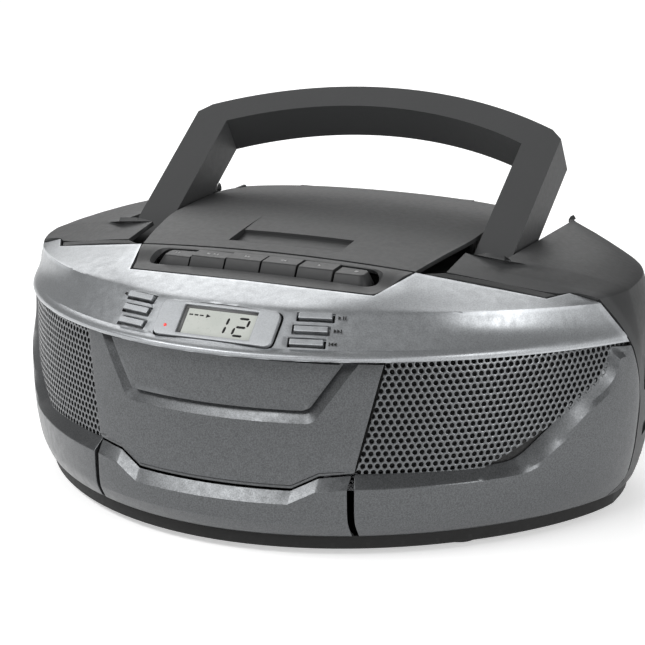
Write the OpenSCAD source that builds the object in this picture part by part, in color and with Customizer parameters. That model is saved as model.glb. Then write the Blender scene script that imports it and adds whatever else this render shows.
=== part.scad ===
// Portable CD, cassette and radio player with a folding carry handle.
// Millimetres. +X is the listener's right, +Y runs to the back, +Z is up.
// The origin is under the middle of the housing, on the surface it stands on.

/* [Housing] */
// Half width of the housing at its widest
half_w = 165; // [150:1:180]
// Depth in front of the widest line
front_d = 135; // [125:1:145]
// Depth behind the widest line
back_d = 103; // [96:1:110]
// Y of the widest line
wide_y = 16; // [14:1:18]
// Thickness of the moulded walls
wall = 2.2; // [1.8:0.1:2.5]
// Height of the lower edge of the silver front
skirt_z = 10; // [8:1:12]

/* [Handle] */
// Outer half width of the handle
handle_w = 102.5; // [100:0.5:103]
// Width of each handle leg
leg_w = 19.3; // [17:0.1:19.5]
// Depth of the handle
handle_d = 21; // [18:1:22]
// Lean from the vertical at rest, degrees
handle_lean = 56.5; // [45:0.5:60]
// Pivot of the handle, Y
pivot_y = 3; // [0:1:6]
// Pivot of the handle, Z
pivot_z = 109; // [107:1:111]
// From the pivot to the outer shoulder of the handle
leg_len = 96.5; // [80:0.5:97]
// Rise of the crowned grip above the shoulders
grip_rise = 25.8; // [15:0.2:26]

/* [Disc compartment] */
// Radius of the disc well
well_r = 62; // [61:0.5:64]
// Y of the disc centre
disc_y = 24; // [22:1:26]
// Half width of the lid over the disc
lid_w = 81; // [79:0.5:81.5]
// Height of the deck under the lid
deck_z = 119; // [118:0.5:120]

/* [Cassette compartment] */
// Half width of the cassette door at its lower edge
door_low_w = 66; // [64:0.5:67]
// Half width of the cassette door at its upper edge
door_high_w = 76.5; // [74:0.5:78]
// Y of the door's hinge axis
door_axis_y = -96; // [-98:0.5:-94]
// Z of the door's hinge axis
door_axis_z = 42; // [41:0.5:43]

/* [Controls] */
// Number of cassette keys
keys = 6; // [6:1:6]
// Width of one cassette key
key_w = 18.2; // [16:0.1:18.4]
// Depth of one cassette key
key_d = 13; // [11:0.1:13.4]
// Width of one CD button
button_w = 15.4; // [13:0.1:15.8]
// Height of one CD button
button_h = 3; // [2.4:0.1:3.2]
// Radius of the volume and tuning wheels
wheel_r = 13; // [11:0.5:13.5]

/* [Hidden] */
$fn = 48;

SILVER = "#8d9094";
DARK_SILVER = "#6c6e72";
CHARCOAL = "#45474a";
BLACK = "#17181a";
STEEL = "#b9bcc0";

// Heights and the outline's size at each: half width, front depth, back depth.
WIDTHS = [[3, -13], [10, -8], [22, -4], [36, -1.5], [60, 0], [82, 0], [95, -2], [111, -7]];
FRONTS = [[3, -9], [10, -6], [20, 0], [27, 0], [34, -3.5], [42, -4], [70, -6.5], [92, -8.5], [111, -12]];
BACKS = [[3, -7], [10, -5], [34, -1], [60, 0], [82, 0], [95, -1], [111, -4]];
// Angle of the seam between the front mouldings and the cabinet at each height.
SEAM = [[8, 74], [21, 90], [56, 90], [85, 82], [89, 80.5], [111, 72]];
SEAM_HALF = 0.3;
// Exponents of the outline in front of and behind the widest line.
FRONT_BEND = 1.38;
BACK_BEND = 0.76;
BACK_SPREAD = 2 / 3;

function half_width(z) = half_w + lookup(z, WIDTHS);
function front_depth(z) = front_d + lookup(z, FRONTS);
function back_depth(z) = back_d + lookup(z, BACKS);

// A point of an outline: angle 0 is the front middle, 90 the right side, 180 the back.
function outline(t, a, bf, bb) =
    let (s = sin(t), c = cos(t))
    c >= 0
        ? [a * s, wide_y - bf * pow(c, FRONT_BEND)]
        : [a * sign(s) * pow(abs(s), BACK_SPREAD), wide_y + bb * pow(-c, BACK_BEND)];
function level_outline(t, z, inset) =
    outline(t, half_width(z) - inset, front_depth(z) - inset, back_depth(z) - inset);
function wall_point(t, z, inset) =
    let (p = level_outline(t, z, inset)) [p.x, p.y, z];
// The outline angle at which the front wall reaches a given x.
function angle_at(x, z, inset) = asin(x / (half_width(z) - inset));
// The front wall's point at a given x.
function front_point(x, z, inset) = wall_point(angle_at(x, z, inset), z, inset);

function unit(v) = v / norm(v);
function clamp_index(i, n) = max(0, min(n - 1, i));
function grid_normal(g, i, j) =
    let (
        n = len(g),
        m = len(g[0]),
        along = g[clamp_index(i + 1, n)][j] - g[clamp_index(i - 1, n)][j],
        across = g[i][clamp_index(j + 1, m)] - g[i][clamp_index(j - 1, m)]
    )
    unit(cross(across, along));

// A closed shell: a grid of outer points and the same grid moved inwards by t.
module shell(g, t) {
    n = len(g);
    m = len(g[0]);
    outer = [for (i = [0:n - 1], j = [0:m - 1]) g[i][j]];
    inner = [for (i = [0:n - 1], j = [0:m - 1]) g[i][j] - t * grid_normal(g, i, j)];
    top = [for (i = [0:n - 2], j = [0:m - 2], half = [0, 1])
        let (a = i * m + j, c = (i + 1) * m + j + 1)
        half == 0 ? [a, (i + 1) * m + j, c] : [a, c, i * m + j + 1]];
    k = n * m;
    bottom = [for (f = top) [k + f[2], k + f[1], k + f[0]]];
    rim = concat(
        [for (j = [0:m - 2]) j],
        [for (i = [0:n - 2]) i * m + m - 1],
        [for (j = [m - 1:-1:1]) (n - 1) * m + j],
        [for (i = [n - 1:-1:1]) i * m]
    );
    sides = [for (q = [0:len(rim) - 1], half = [0, 1])
        let (a = rim[q], b = rim[(q + 1) % len(rim)])
        half == 0 ? [a, b, k + b] : [a, k + b, k + a]];
    polyhedron(points = concat(outer, inner), faces = concat(top, bottom, sides), convexity = 8);
}

function mix(a, b, f) = a + (b - a) * f;

// Heights of the lower edge of the fascia and of the door's lower edge.
function lip_z(x) = 95 - 6.5 * pow(x / 155, 2);
LIP_GAP = 1.8;
DOOR_STEP = [[0, 33.6], [39.2, 33.6], [51.1, 39.8], [66.7, 41.4], [126, 41.6]];
function door_low_z(x) = lookup(abs(x), DOOR_STEP);
function door_side(z) = mix(door_low_w, door_high_w, (z - 41.4) / 52);
// The grille's outer edge: x at each height.
GRILLE_SIDE = [[41, 126], [43, 127.5], [66, 148], [75, 156], [92, 157.7]];

// ---------- front mouldings ----------

// Height of the sloping ledge along the bumper's top, and how far its two rows stand back.
BUMPER_LEDGE = 8;
LEDGE_LEAN = [1.2, 2.2];
// Half width of the middle bumper, and the gap between it and a side bumper.
BUMPER_SIDE = 64.6;
BUMPER_GAP = 2.8;

module bumper_center() {
    color(DARK_SILVER)
        shell([for (r = [0:5]) [for (c = [-10:10])
            let (
                x = BUMPER_SIDE * c / 10,
                top = door_low_z(x) - 0.8,
                z = [skirt_z, 16, 21, top - BUMPER_LEDGE, top - 0.8, top][r]
            )
            front_point(x, z, r < 4 ? 0 : LEDGE_LEAN[r - 4] + lookup(z, FRONTS))
        ]], wall);
}

// Top edge of a side bumper: flat under the grille, then up behind its outer edge.
BUMPER_TOP = [[24, 40.8], [50, 40.8], [64, 65], [72, 76], [74.6, 87.4], [81, 86.6]];
SIDE_END = 80.4;
module bumper_side() {
    start = angle_at(BUMPER_SIDE + BUMPER_GAP, 41, 0);
    color(DARK_SILVER)
        shell([for (r = [0:6]) [for (c = [0:16])
            let (
                f = c / 16,
                t0 = mix(start, SIDE_END, f),
                top = lookup(t0, BUMPER_TOP),
                z = mix(skirt_z, top, r / 6),
                t = t0
                    + (angle_at(BUMPER_SIDE + BUMPER_GAP, z, 0) - start) * (1 - f)
                    + (lookup(z, SEAM) - SEAM_HALF - SIDE_END) * pow(f, 5)
            )
            wall_point(t, z, 0)
        ]], wall);
}
module bumper_left() mirror([1, 0, 0]) bumper_side();
module bumper_right() bumper_side();

GRILLE_INSET = 3;
GRILLE_T = 1.2;
module grille() {
    color(BLACK)
        shell([for (r = [0:5]) [for (c = [0:10])
            let (
                z = mix(42.6, lip_z(mix(door_high_w, half_w - 8, c / 10)) - LIP_GAP, r / 5),
                t0 = angle_at(door_side(z) + 1, z, GRILLE_INSET),
                t1 = angle_at(lookup(z, GRILLE_SIDE) - 1.5, z, GRILLE_INSET)
            )
            wall_point(mix(t0, t1, c / 10), z, GRILLE_INSET)
        ]], GRILLE_T);
}
module grille_left() mirror([1, 0, 0]) grille();
module grille_right() grille();

// Rails of the fascia: inset from the outline, height in the middle and at the ends, end angle.
CREST_IN = 21;
RAILS = [
    [1.5, 95, 88.5, 80],
    [0, 97, 90.5, 79.2],
    [5, 99.5, 94.5, 76.6],
    [CREST_IN, 114, 109, 69.4]
];
FASCIA_STEPS = 25;
// Rear edge of the fascia: fraction of the way out, then x, y and z.
REAR_X = [[0, 0], [0.4, 63.5], [0.44, 72.6], [0.84, 130.6], [0.88, 137.5], [1, 150.5]];
REAR_Y = [[0, -75], [0.4, -71.5], [0.44, -43.5], [0.84, -25], [0.88, -13], [1, -9.6]];
REAR_Z = [[0, 119.5], [0.4, 118], [0.44, 123.6], [0.84, 113], [0.88, 113.6], [1, 109.4]];
function rail_point(u, rail) =
    let (
        t = u * rail[3],
        z = mix(rail[1], rail[2], u * u),
        p = outline(t, half_w - 3 - rail[0] * (1 - abs(u)) * 0.2 - rail[0] * 0.1, front_d - 0.5 - rail[0], back_d)
    )
    [p.x, p.y, z];
function rear_point(u) =
    [sign(u) * lookup(abs(u), REAR_X), lookup(abs(u), REAR_Y), lookup(abs(u), REAR_Z)];
FACE_TILT = 44;
FACE_YAW = 15.8;
LCD_W = 61;
LCD_H = 19.4;
LCD_Y = -105.4;
LCD_Z = 106.8;
BUTTON_X = 44.6;
BUTTON_ROWS = [[-93.8, 111.4], [-98.8, 106.5], [-103.8, 101.6]];
BUTTON_CLEAR = 0.35;
// Moves children from the XY plane onto the sloping control face.
module on_face(x, y, z, yaw) {
    translate([x, y, z])
        rotate([0, 0, yaw])
            rotate([FACE_TILT, 0, 0])
                children();
}
module fascia() {
    color(SILVER)
        difference() {
            shell([for (r = [0:4]) [for (c = [-FASCIA_STEPS:FASCIA_STEPS])
                let (u = c / FASCIA_STEPS) r < 4 ? rail_point(u, RAILS[r]) : rear_point(u)
            ]], wall);
            on_face(0, LCD_Y, LCD_Z, 0)
                cube([LCD_W + 0.6, LCD_H + 0.6, 24], center = true);
            for (side = [-1, 1], row = BUTTON_ROWS)
                on_face(side * BUTTON_X, row[0], row[1], side * FACE_YAW)
                    cube([button_w + 2 * BUTTON_CLEAR, button_h + 2 * BUTTON_CLEAR, 24], center = true);
        }
}

KEY_SLOT_Y = -55.3;
KEY_SLOT_Z = 121.2;
KEY_TILT = 4;
KEY_PITCH = 18.8;
// Rows of the key panel: fraction of the way back, height in the middle and fall at the ends.
PANEL_ROWS = [0, 0.39, 0.85, 1];
PANEL_Z = [119.4, 120.6, 125.4, 126];
PANEL_FALL = [1.4, 1.6, 2, 2.2];
module key_panel() {
    color(CHARCOAL)
        difference() {
            shell([for (r = [0:3]) [for (c = [-8:8])
                let (
                    f = PANEL_ROWS[r],
                    x = mix(62.6, 71.6, f) * c / 8,
                    y = mix(-73.6 + 3.2 * pow(c / 8, 2), -44.2, f)
                )
                [x, y, PANEL_Z[r] - PANEL_FALL[r] * pow(c / 8, 2)]
            ]], wall);
            translate([0, KEY_SLOT_Y, KEY_SLOT_Z])
                rotate([KEY_TILT, 0, 0])
                    cube([keys * KEY_PITCH + 0.6, key_d + 0.8, 20], center = true);
        }
}
function key_x(i) = (i - (keys - 1) / 2) * KEY_PITCH;
// The outer keys sit lower, following the panel's crown.
KEY_SAG = 1.7;
function key_z(i) = KEY_SLOT_Z - KEY_SAG * pow(2 * i / (keys - 1) - 1, 2);
// A key from the side: a steep front face under a flat top.
KEY_TOP = 4.2;
KEY_FLOOR = -5.4;
KEY_PROFILE = [
    [-key_d / 2, KEY_FLOOR], [-key_d / 2, -1.4], [-key_d / 2 + 3.4, KEY_TOP - 0.6],
    [-key_d / 2 + 4.4, KEY_TOP], [key_d / 2, KEY_TOP], [key_d / 2, KEY_FLOOR]
];
STEM_LEN = 16;
module cassette_key(i) {
    color(CHARCOAL)
        translate([key_x(i), KEY_SLOT_Y, key_z(i)])
            rotate([KEY_TILT, 0, 0])
                union() {
                    translate([-key_w / 2, 0, 0])
                        rotate([90, 0, 90])
                            linear_extrude(height = key_w)
                                polygon(KEY_PROFILE);
                    translate([-2, -1.5, -STEM_LEN])
                        cube([4, 3, STEM_LEN - 4]);
                }
}

module top_strips() {
    color(CHARCOAL)
        for (side = [0, 1])
            mirror([side, 0, 0])
                shell([for (r = [0:1]) [for (c = [0:4])
                    let (
                        f = c / 4,
                        near = [mix(76, 129.6, f), mix(-41.6, -24.2, f), mix(123, 113.2, f)],
                        far = [mix(84, 133, f), mix(-36, -18, f), mix(122.9, 113.4, f)]
                    )
                    r == 0 ? near : far
                ]], wall);
}

module lcd_bezel() {
    color(SILVER)
        on_face(0, LCD_Y, LCD_Z, 0)
            difference() {
                translate([0, 0, -1.4])
                    cube([LCD_W, LCD_H, 3.2], center = true);
                cube([LCD_W - 12, LCD_H - 6, 12], center = true);
            }
}
module lcd_glass() {
    color("#9aa09a")
        on_face(0, LCD_Y, LCD_Z, 0)
            translate([0, 0, -1.6])
                cube([LCD_W - 12.4, LCD_H - 6.4, 2], center = true);
}
module cd_button(k) {
    row = BUTTON_ROWS[k % 3];
    side = k < 3 ? -1 : 1;
    color(SILVER)
        on_face(side * BUTTON_X, row[0], row[1], side * FACE_YAW)
            union() {
                translate([0, 0, -0.6])
                    cube([button_w, button_h, 3.6], center = true);
                translate([0, 0, -4.4])
                    cube([6, 2, 5], center = true);
            }
}

// ---------- cabinet and base ----------

// Handle slots: half width, front end, floor, and how far the cabinet's edge keeps back.
SLOT_X = 104;
SLOT_FRONT_Y = -26.7;
SLOT_FLOOR = 97;
HANDLE_ROOM = 0.8;
LEDGE_Z = 88;
BACK_EDGE_Y = 103;
// Inner top edge of the cabinet: along the handle slots, round a corner and across the back.
TURN_A = 0.36;
TURN_B = 0.4;
CORNER_R = 3;
function top_edge(f, z) =
    f > 0.5
        ? let (p = top_edge(1 - f, z)) [-p.x, p.y, p.z]
        : f < TURN_A
            ? [SLOT_X, mix(SLOT_FRONT_Y, BACK_EDGE_Y - CORNER_R, f / TURN_A), z]
            : f < TURN_B
                ? let (q = 90 * (f - TURN_A) / (TURN_B - TURN_A))
                  [SLOT_X - CORNER_R + CORNER_R * cos(q), BACK_EDGE_Y - CORNER_R + CORNER_R * sin(q), z]
                : [mix(SLOT_X - CORNER_R, 0, (f - TURN_B) / (0.5 - TURN_B)), BACK_EDGE_Y, z];
CABINET_Z = [10, 21, 38, 56, 74, 89, 100, 111];
CABINET_STEPS = 44;
function cabinet_row(r) =
    [for (c = [0:CABINET_STEPS])
        let (f = c / CABINET_STEPS)
        r < len(CABINET_Z)
            ? let (z = CABINET_Z[r], s = lookup(z, SEAM) + SEAM_HALF) wall_point(mix(s, 360 - s, f), z, 0)
            : top_edge(f, mix(121.5, 123.5, min(1, 8 * min(f, 1 - f))))];
CONTROL_Y = 40;
CONTROL_Z = 72;
INLET_X = 112;
module cabinet() {
    color(CHARCOAL)
        difference() {
            union() {
                shell([for (r = [0:len(CABINET_Z)]) cabinet_row(r)], wall);
                for (side = [0, 1])
                    mirror([side, 0, 0])
                        translate([SLOT_X + 0.4, -25, SLOT_FLOOR - 3])
                            cube([wall, 119, 27]);
            }
            translate([-SLOT_X - 1, 99, LEDGE_Z])
                cube([2 * SLOT_X + 2, 40, 60]);
            translate([-SLOT_X + HANDLE_ROOM, SLOT_FRONT_Y, SLOT_FLOOR])
                cube([2 * (SLOT_X - HANDLE_ROOM), 130, 60]);
            for (side = [0, 1])
                mirror([side, 0, 0])
                    translate([140, CONTROL_Y - 17, CONTROL_Z - 16])
                        cube([40, 34, 32]);
            for (side = [0, 1])
                mirror([side, 0, 0])
                    translate([140, CONTROL_Y - 12, 35])
                        cube([40, 22, 8]);
            translate([-BAY_X - 0.6, 90, BAY_Z0 - 0.6])
                cube([2 * BAY_X + 1.2, 40, BAY_Z1 - BAY_Z0 + 1.2]);
            translate([INLET_X - 12, 84, 23])
                cube([24, 40, 20]);
        }
}

module base_outline(inset) {
    polygon([for (t = [0:7.5:352.5]) level_outline(t, 10, 3 + inset)]);
}
module base_pan() {
    color(BLACK)
        difference() {
            translate([0, 0, 3.5])
                linear_extrude(height = 6.2)
                    base_outline(0);
            translate([0, 0, 6.5])
                linear_extrude(height = 10)
                    base_outline(wall);
        }
}
FOOT_X = 98;
module rubber_feet() {
    color("#101113")
        for (sx = [-1, 1], y = [-50, 84])
            translate([sx * FOOT_X, y, 0])
                difference() {
                    cylinder(h = 3.4, r = 9);
                    translate([0, 0, -0.1])
                        cylinder(h = 1.1, r = 3);
                }
}

// ---------- disc compartment ----------

DECK_W = 79.5;
LID_FRONT_Y = -42.6;
LID_BACK_Y = 94.5;
LID_AXIS_Y = 91;
LID_AXIS_Z = 124;
KNUCKLE_R = 4;
PIN_R = 2;
FIT = 0.05;
DECK_CORNER = [54, 13];
DECK_BACK_Y = 101.2;
DECK_WALL = 2.5;
module deck_outline(inset) {
    w = DECK_W - inset;
    back = DECK_BACK_Y - inset;
    polygon([
        [-w, -41 + inset], [w, -41 + inset], [w, back - DECK_CORNER[1]],
        [DECK_CORNER[0], back], [-DECK_CORNER[0], back], [-w, back - DECK_CORNER[1]]
    ]);
}
module cd_deck() {
    color(BLACK)
        difference() {
            union() {
                translate([0, 0, deck_z - 3])
                    linear_extrude(height = 3)
                        deck_outline(0);
                translate([0, disc_y, 104])
                    cylinder(h = 14, r = well_r + 2.4, $fn = 96);
                translate([0, 0, LEDGE_Z - DECK_WALL])
                    linear_extrude(height = deck_z - LEDGE_Z + 1)
                        difference() {
                            deck_outline(0);
                            deck_outline(DECK_WALL);
                            translate([-DECK_W - 1, -60])
                                square([2 * DECK_W + 2, 40]);
                        }
                for (sx = [0, 1])
                    mirror([sx, 0, 0])
                        translate([DECK_W - 1, -36, SLOT_FLOOR - 3])
                            cube([SLOT_X - DECK_W - 1.8, 124, 2.5]);
                translate([-DECK_CORNER[0], DECK_BACK_Y - DECK_WALL, deck_z - 1])
                    cube([2 * DECK_CORNER[0], DECK_WALL, 128.4 - deck_z]);
                translate([0, 0, LEDGE_Z - DECK_WALL])
                    linear_extrude(height = DECK_WALL)
                        intersection() {
                            polygon([for (t = [90:6:270]) level_outline(t, LEDGE_Z, wall + 1.2)]);
                            translate([-SLOT_X + 3, DECK_BACK_Y - DECK_CORNER[1] - 2])
                                square([2 * SLOT_X - 6, 40]);
                        }
            }
            translate([0, disc_y, 107])
                cylinder(h = 20, r = well_r, $fn = 96);
            translate([0, disc_y, 100])
                cylinder(h = 20, r = 19);
            translate([16, disc_y - 13, 100])
                cube([42, 26, 20]);
        }
}
RAIL_Y = 10;
module cd_mechanism() {
    color(STEEL) {
        difference() {
            translate([-26, disc_y - 25, 93])
                cube([92, 50, 2]);
            translate([16, disc_y - 9, 90])
                cube([44, 18, 10]);
        }
        translate([0, disc_y, 95])
            cylinder(h = 6, r = 13);
        for (sy = [-1, 1])
            translate([14, disc_y + sy * RAIL_Y, 99])
                rotate([0, 90, 0])
                    cylinder(h = 48, r = 1.2, $fn = 24);
        for (x = [13, 61], sy = [-1, 1])
            translate([x, disc_y + sy * RAIL_Y - 2, 95])
                cube([2, 4, 6]);
    }
}
SPINDLE_Z = 101.2;
module cd_spindle() {
    color(BLACK)
        translate([0, disc_y, SPINDLE_Z])
            difference() {
                union() {
                    cylinder(h = 8.2, r = 16);
                    cylinder(h = 10.6, r = 7.4);
                }
                translate([0, 0, 9])
                    cylinder(h = 4, r = 3);
            }
}
SLED_X = 24;
module pickup_sled() {
    color("#2b2d30")
        translate([SLED_X, disc_y, 0])
            difference() {
                union() {
                    translate([0, -13, 96.6])
                        cube([14, 26, 5.4]);
                    translate([7, 0, 102])
                        cylinder(h = 3, r = 4.5);
                }
                for (sy = [-1, 1])
                    translate([-1, sy * RAIL_Y, 99])
                        rotate([0, 90, 0])
                            cylinder(h = 16, r = 1.2 + FIT, $fn = 24);
            }
}
function lid_side(y) = lookup(y, [[LID_FRONT_Y, 72], [11, lid_w], [LID_BACK_Y, lid_w]]);
function lid_z(x, y) =
    lookup(y, [[LID_FRONT_Y, 126.3], [-20, 129.6], [10, 132.4], [50, 133.6], [LID_BACK_Y, 130.8]])
    - 3 * pow(x / lid_w, 2);
LID_ROWS = [LID_FRONT_Y, -30, -12, 11, 40, 68, LID_BACK_Y];
// The back edge of the lid is bowed, so that the folded handle passes round it.
function lid_y(x, y) = y - (y > 60 ? 7.5 * pow(x / lid_w, 4) : 0);
KNUCKLE_X = 44;
CLAMP_R = 16;
module cd_lid() {
    color(CHARCOAL)
        difference() {
            union() {
                shell([for (y = LID_ROWS) [for (c = [-6:6])
                    let (x = lid_side(y) * c / 6) [x, lid_y(x, y), lid_z(x, y)]
                ]], wall);
                for (sx = [-1, 1])
                    translate([sx * (lid_w - 1.2) - 1, 11, 120])
                        cube([2, 74, 8.6]);
                for (sx = [-1, 1])
                    translate([sx * KNUCKLE_X - 6, LID_AXIS_Y, LID_AXIS_Z])
                        rotate([0, 90, 0])
                            cylinder(h = 12, r = KNUCKLE_R);
                for (sx = [-1, 1])
                    translate([sx * KNUCKLE_X - 6, LID_AXIS_Y - 3, LID_AXIS_Z])
                        cube([12, 6, 6]);
                translate([0, disc_y, 122.6])
                    cylinder(h = 9, r = CLAMP_R + 3);
            }
            for (sx = [-1, 1])
                translate([sx * KNUCKLE_X - 10, LID_AXIS_Y, LID_AXIS_Z])
                    rotate([0, 90, 0])
                        cylinder(h = 20, r = PIN_R + FIT, $fn = 32);
            translate([0, disc_y, 120])
                cylinder(h = 8.5, r = CLAMP_R + 0.6);
        }
}
module disc_clamp() {
    color(BLACK)
        translate([0, disc_y, 121.4])
            difference() {
                cylinder(h = 6, r = CLAMP_R);
                translate([0, 0, -1])
                    cylinder(h = 3, r = 8.4);
            }
}

// ---------- cassette compartment ----------

DOOR_TOP_GAP = 1.6;
function door_point(c, f, inset) =
    let (
        x0 = door_low_w * c,
        low = door_low_z(x0),
        high = lip_z(door_high_w * c) - DOOR_TOP_GAP,
        z = mix(low, high, f),
        x = mix(door_low_w, door_high_w, f) * c
    )
    front_point(x, z, inset);
DOOR_EAR_X = 57;
module cassette_door() {
    color(DARK_SILVER)
        difference() {
            union() {
                shell([for (r = [0:5]) [for (c = [-11:11]) door_point(c / 11, r / 5, 0.9)]], wall);
                for (sx = [-1, 1])
                    translate([sx * DOOR_EAR_X - 2, door_axis_y, door_axis_z])
                        rotate([0, 90, 0])
                            cylinder(h = 4, r = 4.2, $fn = 40);
                for (sx = [-1, 1])
                    translate([sx * DOOR_EAR_X - 2, -101.6, door_axis_z])
                        cube([4, 9, 10]);
            }
            for (sx = [-1, 1])
                translate([sx * DOOR_EAR_X - 5, door_axis_y, door_axis_z])
                    rotate([0, 90, 0])
                        cylinder(h = 10, r = PIN_R + FIT, $fn = 32);
        }
}
module door_panel() {
    color(SILVER)
        shell([for (r = [0:2]) [for (c = [-6:6])
            let (z = mix(70.4, 90.6, r / 2), x = mix(44.6, 58, r / 2) * c / 6)
            front_point(x, z, -0.5)
        ]], 1.2);
}
HOLDER_X = 53;
HOLDER_Y = -97.2;
HOLDER_Z0 = 30;
HOLDER_Z1 = 88;
module cassette_holder() {
    color(BLACK)
        union() {
            for (sx = [0, 1])
                mirror([sx, 0, 0])
                    translate([HOLDER_X - 2, HOLDER_Y, 53])
                        cube([2, 14.4, HOLDER_Z1 - 53]);
            translate([-HOLDER_X, HOLDER_Y, 50])
                cube([2 * HOLDER_X, 1.6, HOLDER_Z1 - 50]);
            translate([-50, HOLDER_Y, HOLDER_Z0])
                cube([100, 1.6, 21]);
            translate([-50, HOLDER_Y, HOLDER_Z0])
                cube([100, 13, 2]);
        }
}
SPOOL_X = 21.25;
SPOOL_Z = 62;
CHASSIS_Y = -75;
FLY_X = 8;
FLY_Z = 86;
MOTOR_X = 44;
MOTOR_Z = 84;
module cassette_chassis() {
    color("#5d5f62")
        difference() {
            union() {
                translate([-58, CHASSIS_Y, 24])
                    cube([116, 2, 80]);
                for (sx = [0, 1])
                    mirror([sx, 0, 0])
                        translate([56, CHASSIS_Y, 24])
                            cube([2, 18, 80]);
                for (sx = [-1, 1])
                    translate([sx * SPOOL_X, CHASSIS_Y - 6, SPOOL_Z])
                        rotate([-90, 0, 0])
                            cylinder(h = 7, r = 1.5, $fn = 24);
            }
            translate([FLY_X, CHASSIS_Y - 1, FLY_Z])
                rotate([-90, 0, 0])
                    cylinder(h = 4, r = 1.2 + FIT, $fn = 24);
            translate([MOTOR_X, CHASSIS_Y - 1, MOTOR_Z])
                rotate([-90, 0, 0])
                    cylinder(h = 4, r = 3, $fn = 24);
        }
}
module spool(x) {
    color("#e2e2de")
        translate([x, CHASSIS_Y - 0.4, SPOOL_Z])
            rotate([90, 0, 0])
                difference() {
                    union() {
                        cylinder(h = 2, r = 10);
                        cylinder(h = 9, r = 3.6);
                        for (k = [0:5])
                            rotate([0, 0, 60 * k])
                                translate([2.6, -0.6, 0])
                                    cube([2, 1.2, 9]);
                    }
                    translate([0, 0, -1])
                        cylinder(h = 7, r = 1.5 + FIT, $fn = 24);
                }
}
module flywheel() {
    color("#c8a45a")
        translate([FLY_X, 0, FLY_Z])
            rotate([-90, 0, 0]) {
                translate([0, 0, CHASSIS_Y - 9])
                    cylinder(h = 13, r = 1.2, $fn = 24);
                translate([0, 0, CHASSIS_Y + 3])
                    cylinder(h = 6, r = 17);
            }
}
module drive_motor() {
    color(STEEL)
        translate([MOTOR_X, CHASSIS_Y + 10.6, MOTOR_Z])
            rotate([-90, 0, 0])
                difference() {
                    cylinder(h = 24, r = 11);
                    translate([0, 0, -1])
                        cylinder(h = 5, r = 1 + FIT, $fn = 24);
                }
}
module motor_pulley() {
    color("#c8a45a")
        translate([MOTOR_X, CHASSIS_Y + 3, MOTOR_Z])
            rotate([-90, 0, 0]) {
                cylinder(h = 5.6, r = 4);
                cylinder(h = 11, r = 1, $fn = 24);
            }
}
module tape_head() {
    color(STEEL) {
        translate([-8, CHASSIS_Y - 8, 95])
            cube([12, 7.8, 9]);
        translate([-30, CHASSIS_Y - 8, 97])
            cube([10, 7.8, 7]);
    }
}

// ---------- sound, power and boards ----------

SPEAKER_X = 96;
SPEAKER_Y = -42;
SPEAKER_Z = 62;
SPEAKER_YAW = 46;
SPEAKER_R = 26;
module speaker() {
    color("#33363a")
        translate([SPEAKER_X, SPEAKER_Y, SPEAKER_Z])
            rotate([0, 0, SPEAKER_YAW])
                rotate([90, 0, 0]) {
                    difference() {
                        translate([0, 0, -2])
                            cylinder(h = 2, r = SPEAKER_R + 5);
                        translate([0, 0, -3])
                            cylinder(h = 4, r = SPEAKER_R);
                    }
                    difference() {
                        translate([0, 0, -16])
                            cylinder(h = 14.5, r1 = 16, r2 = SPEAKER_R + 1.6);
                        translate([0, 0, -14])
                            cylinder(h = 14.6, r1 = 14, r2 = SPEAKER_R + 0.2);
                    }
                    translate([0, 0, -27])
                        cylinder(h = 11.4, r = 17);
                }
}
module speaker_left() mirror([1, 0, 0]) speaker();
module speaker_right() speaker();
module speaker_cones() {
    color("#1d1e20")
        for (side = [0, 1])
            mirror([side, 0, 0])
                translate([SPEAKER_X, SPEAKER_Y, SPEAKER_Z])
                    rotate([0, 0, SPEAKER_YAW])
                        rotate([90, 0, 0])
                            difference() {
                                translate([0, 0, -11])
                                    cylinder(h = 10.6, r1 = 12.4, r2 = SPEAKER_R - 1.6);
                                translate([0, 0, -9.6])
                                    cylinder(h = 10.6, r1 = 11, r2 = SPEAKER_R - 2.4);
                            }
}
module main_board() {
    color("#2f6b3f") {
        translate([-60, -46, 62])
            cube([120, 100, 1.6]);
        for (p = [[-40, -20], [-12, 20], [30, 30]])
            translate([p.x, p.y, 63.6])
                cube([20, 12, 3]);
        for (p = [[45, -30], [50, 0], [-50, 30]])
            translate([p.x, p.y, 63.6])
                cylinder(h = 14, r = 5);
    }
}
module transformer() {
    color("#7c6a4a") {
        translate([88, 24, 9])
            difference() {
                cube([42, 44, 36]);
                translate([-1, 12, 8])
                    cube([44, 20, 20]);
            }
        translate([92, 36.5, 17.5])
            cube([34, 19, 19]);
    }
}
module ac_inlet() {
    color(BLACK)
        difference() {
            translate([INLET_X - 11.4, 84, 23.6])
                cube([22.8, 16, 18.8]);
            translate([INLET_X - 8.5, 88, 28])
                cube([17, 20, 10]);
        }
    color(STEEL)
        for (sx = [-1, 1])
            translate([INLET_X + sx * 4.3, 87.8, 33])
                rotate([-90, 0, 0])
                    cylinder(h = 9, r = 1.2, $fn = 24);
}
BAY_X = 79;
BAY_Z0 = 14;
BAY_Z1 = 70;
BAY_Y = 76;
module battery_box() {
    color(BLACK)
        difference() {
            translate([-BAY_X, BAY_Y, BAY_Z0])
                cube([2 * BAY_X, 32, BAY_Z1 - BAY_Z0]);
            translate([-BAY_X + wall, BAY_Y + wall, BAY_Z0 + wall])
                cube([2 * (BAY_X - wall), 40, BAY_Z1 - BAY_Z0 - 2 * wall]);
        }
    color(STEEL)
        for (sx = [-1, 1], z = [29, 55])
            translate([sx * (BAY_X - wall - 0.4) - 0.4, BAY_Y + 8, z - 5])
                cube([0.8, 10, 10]);
}
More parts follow.
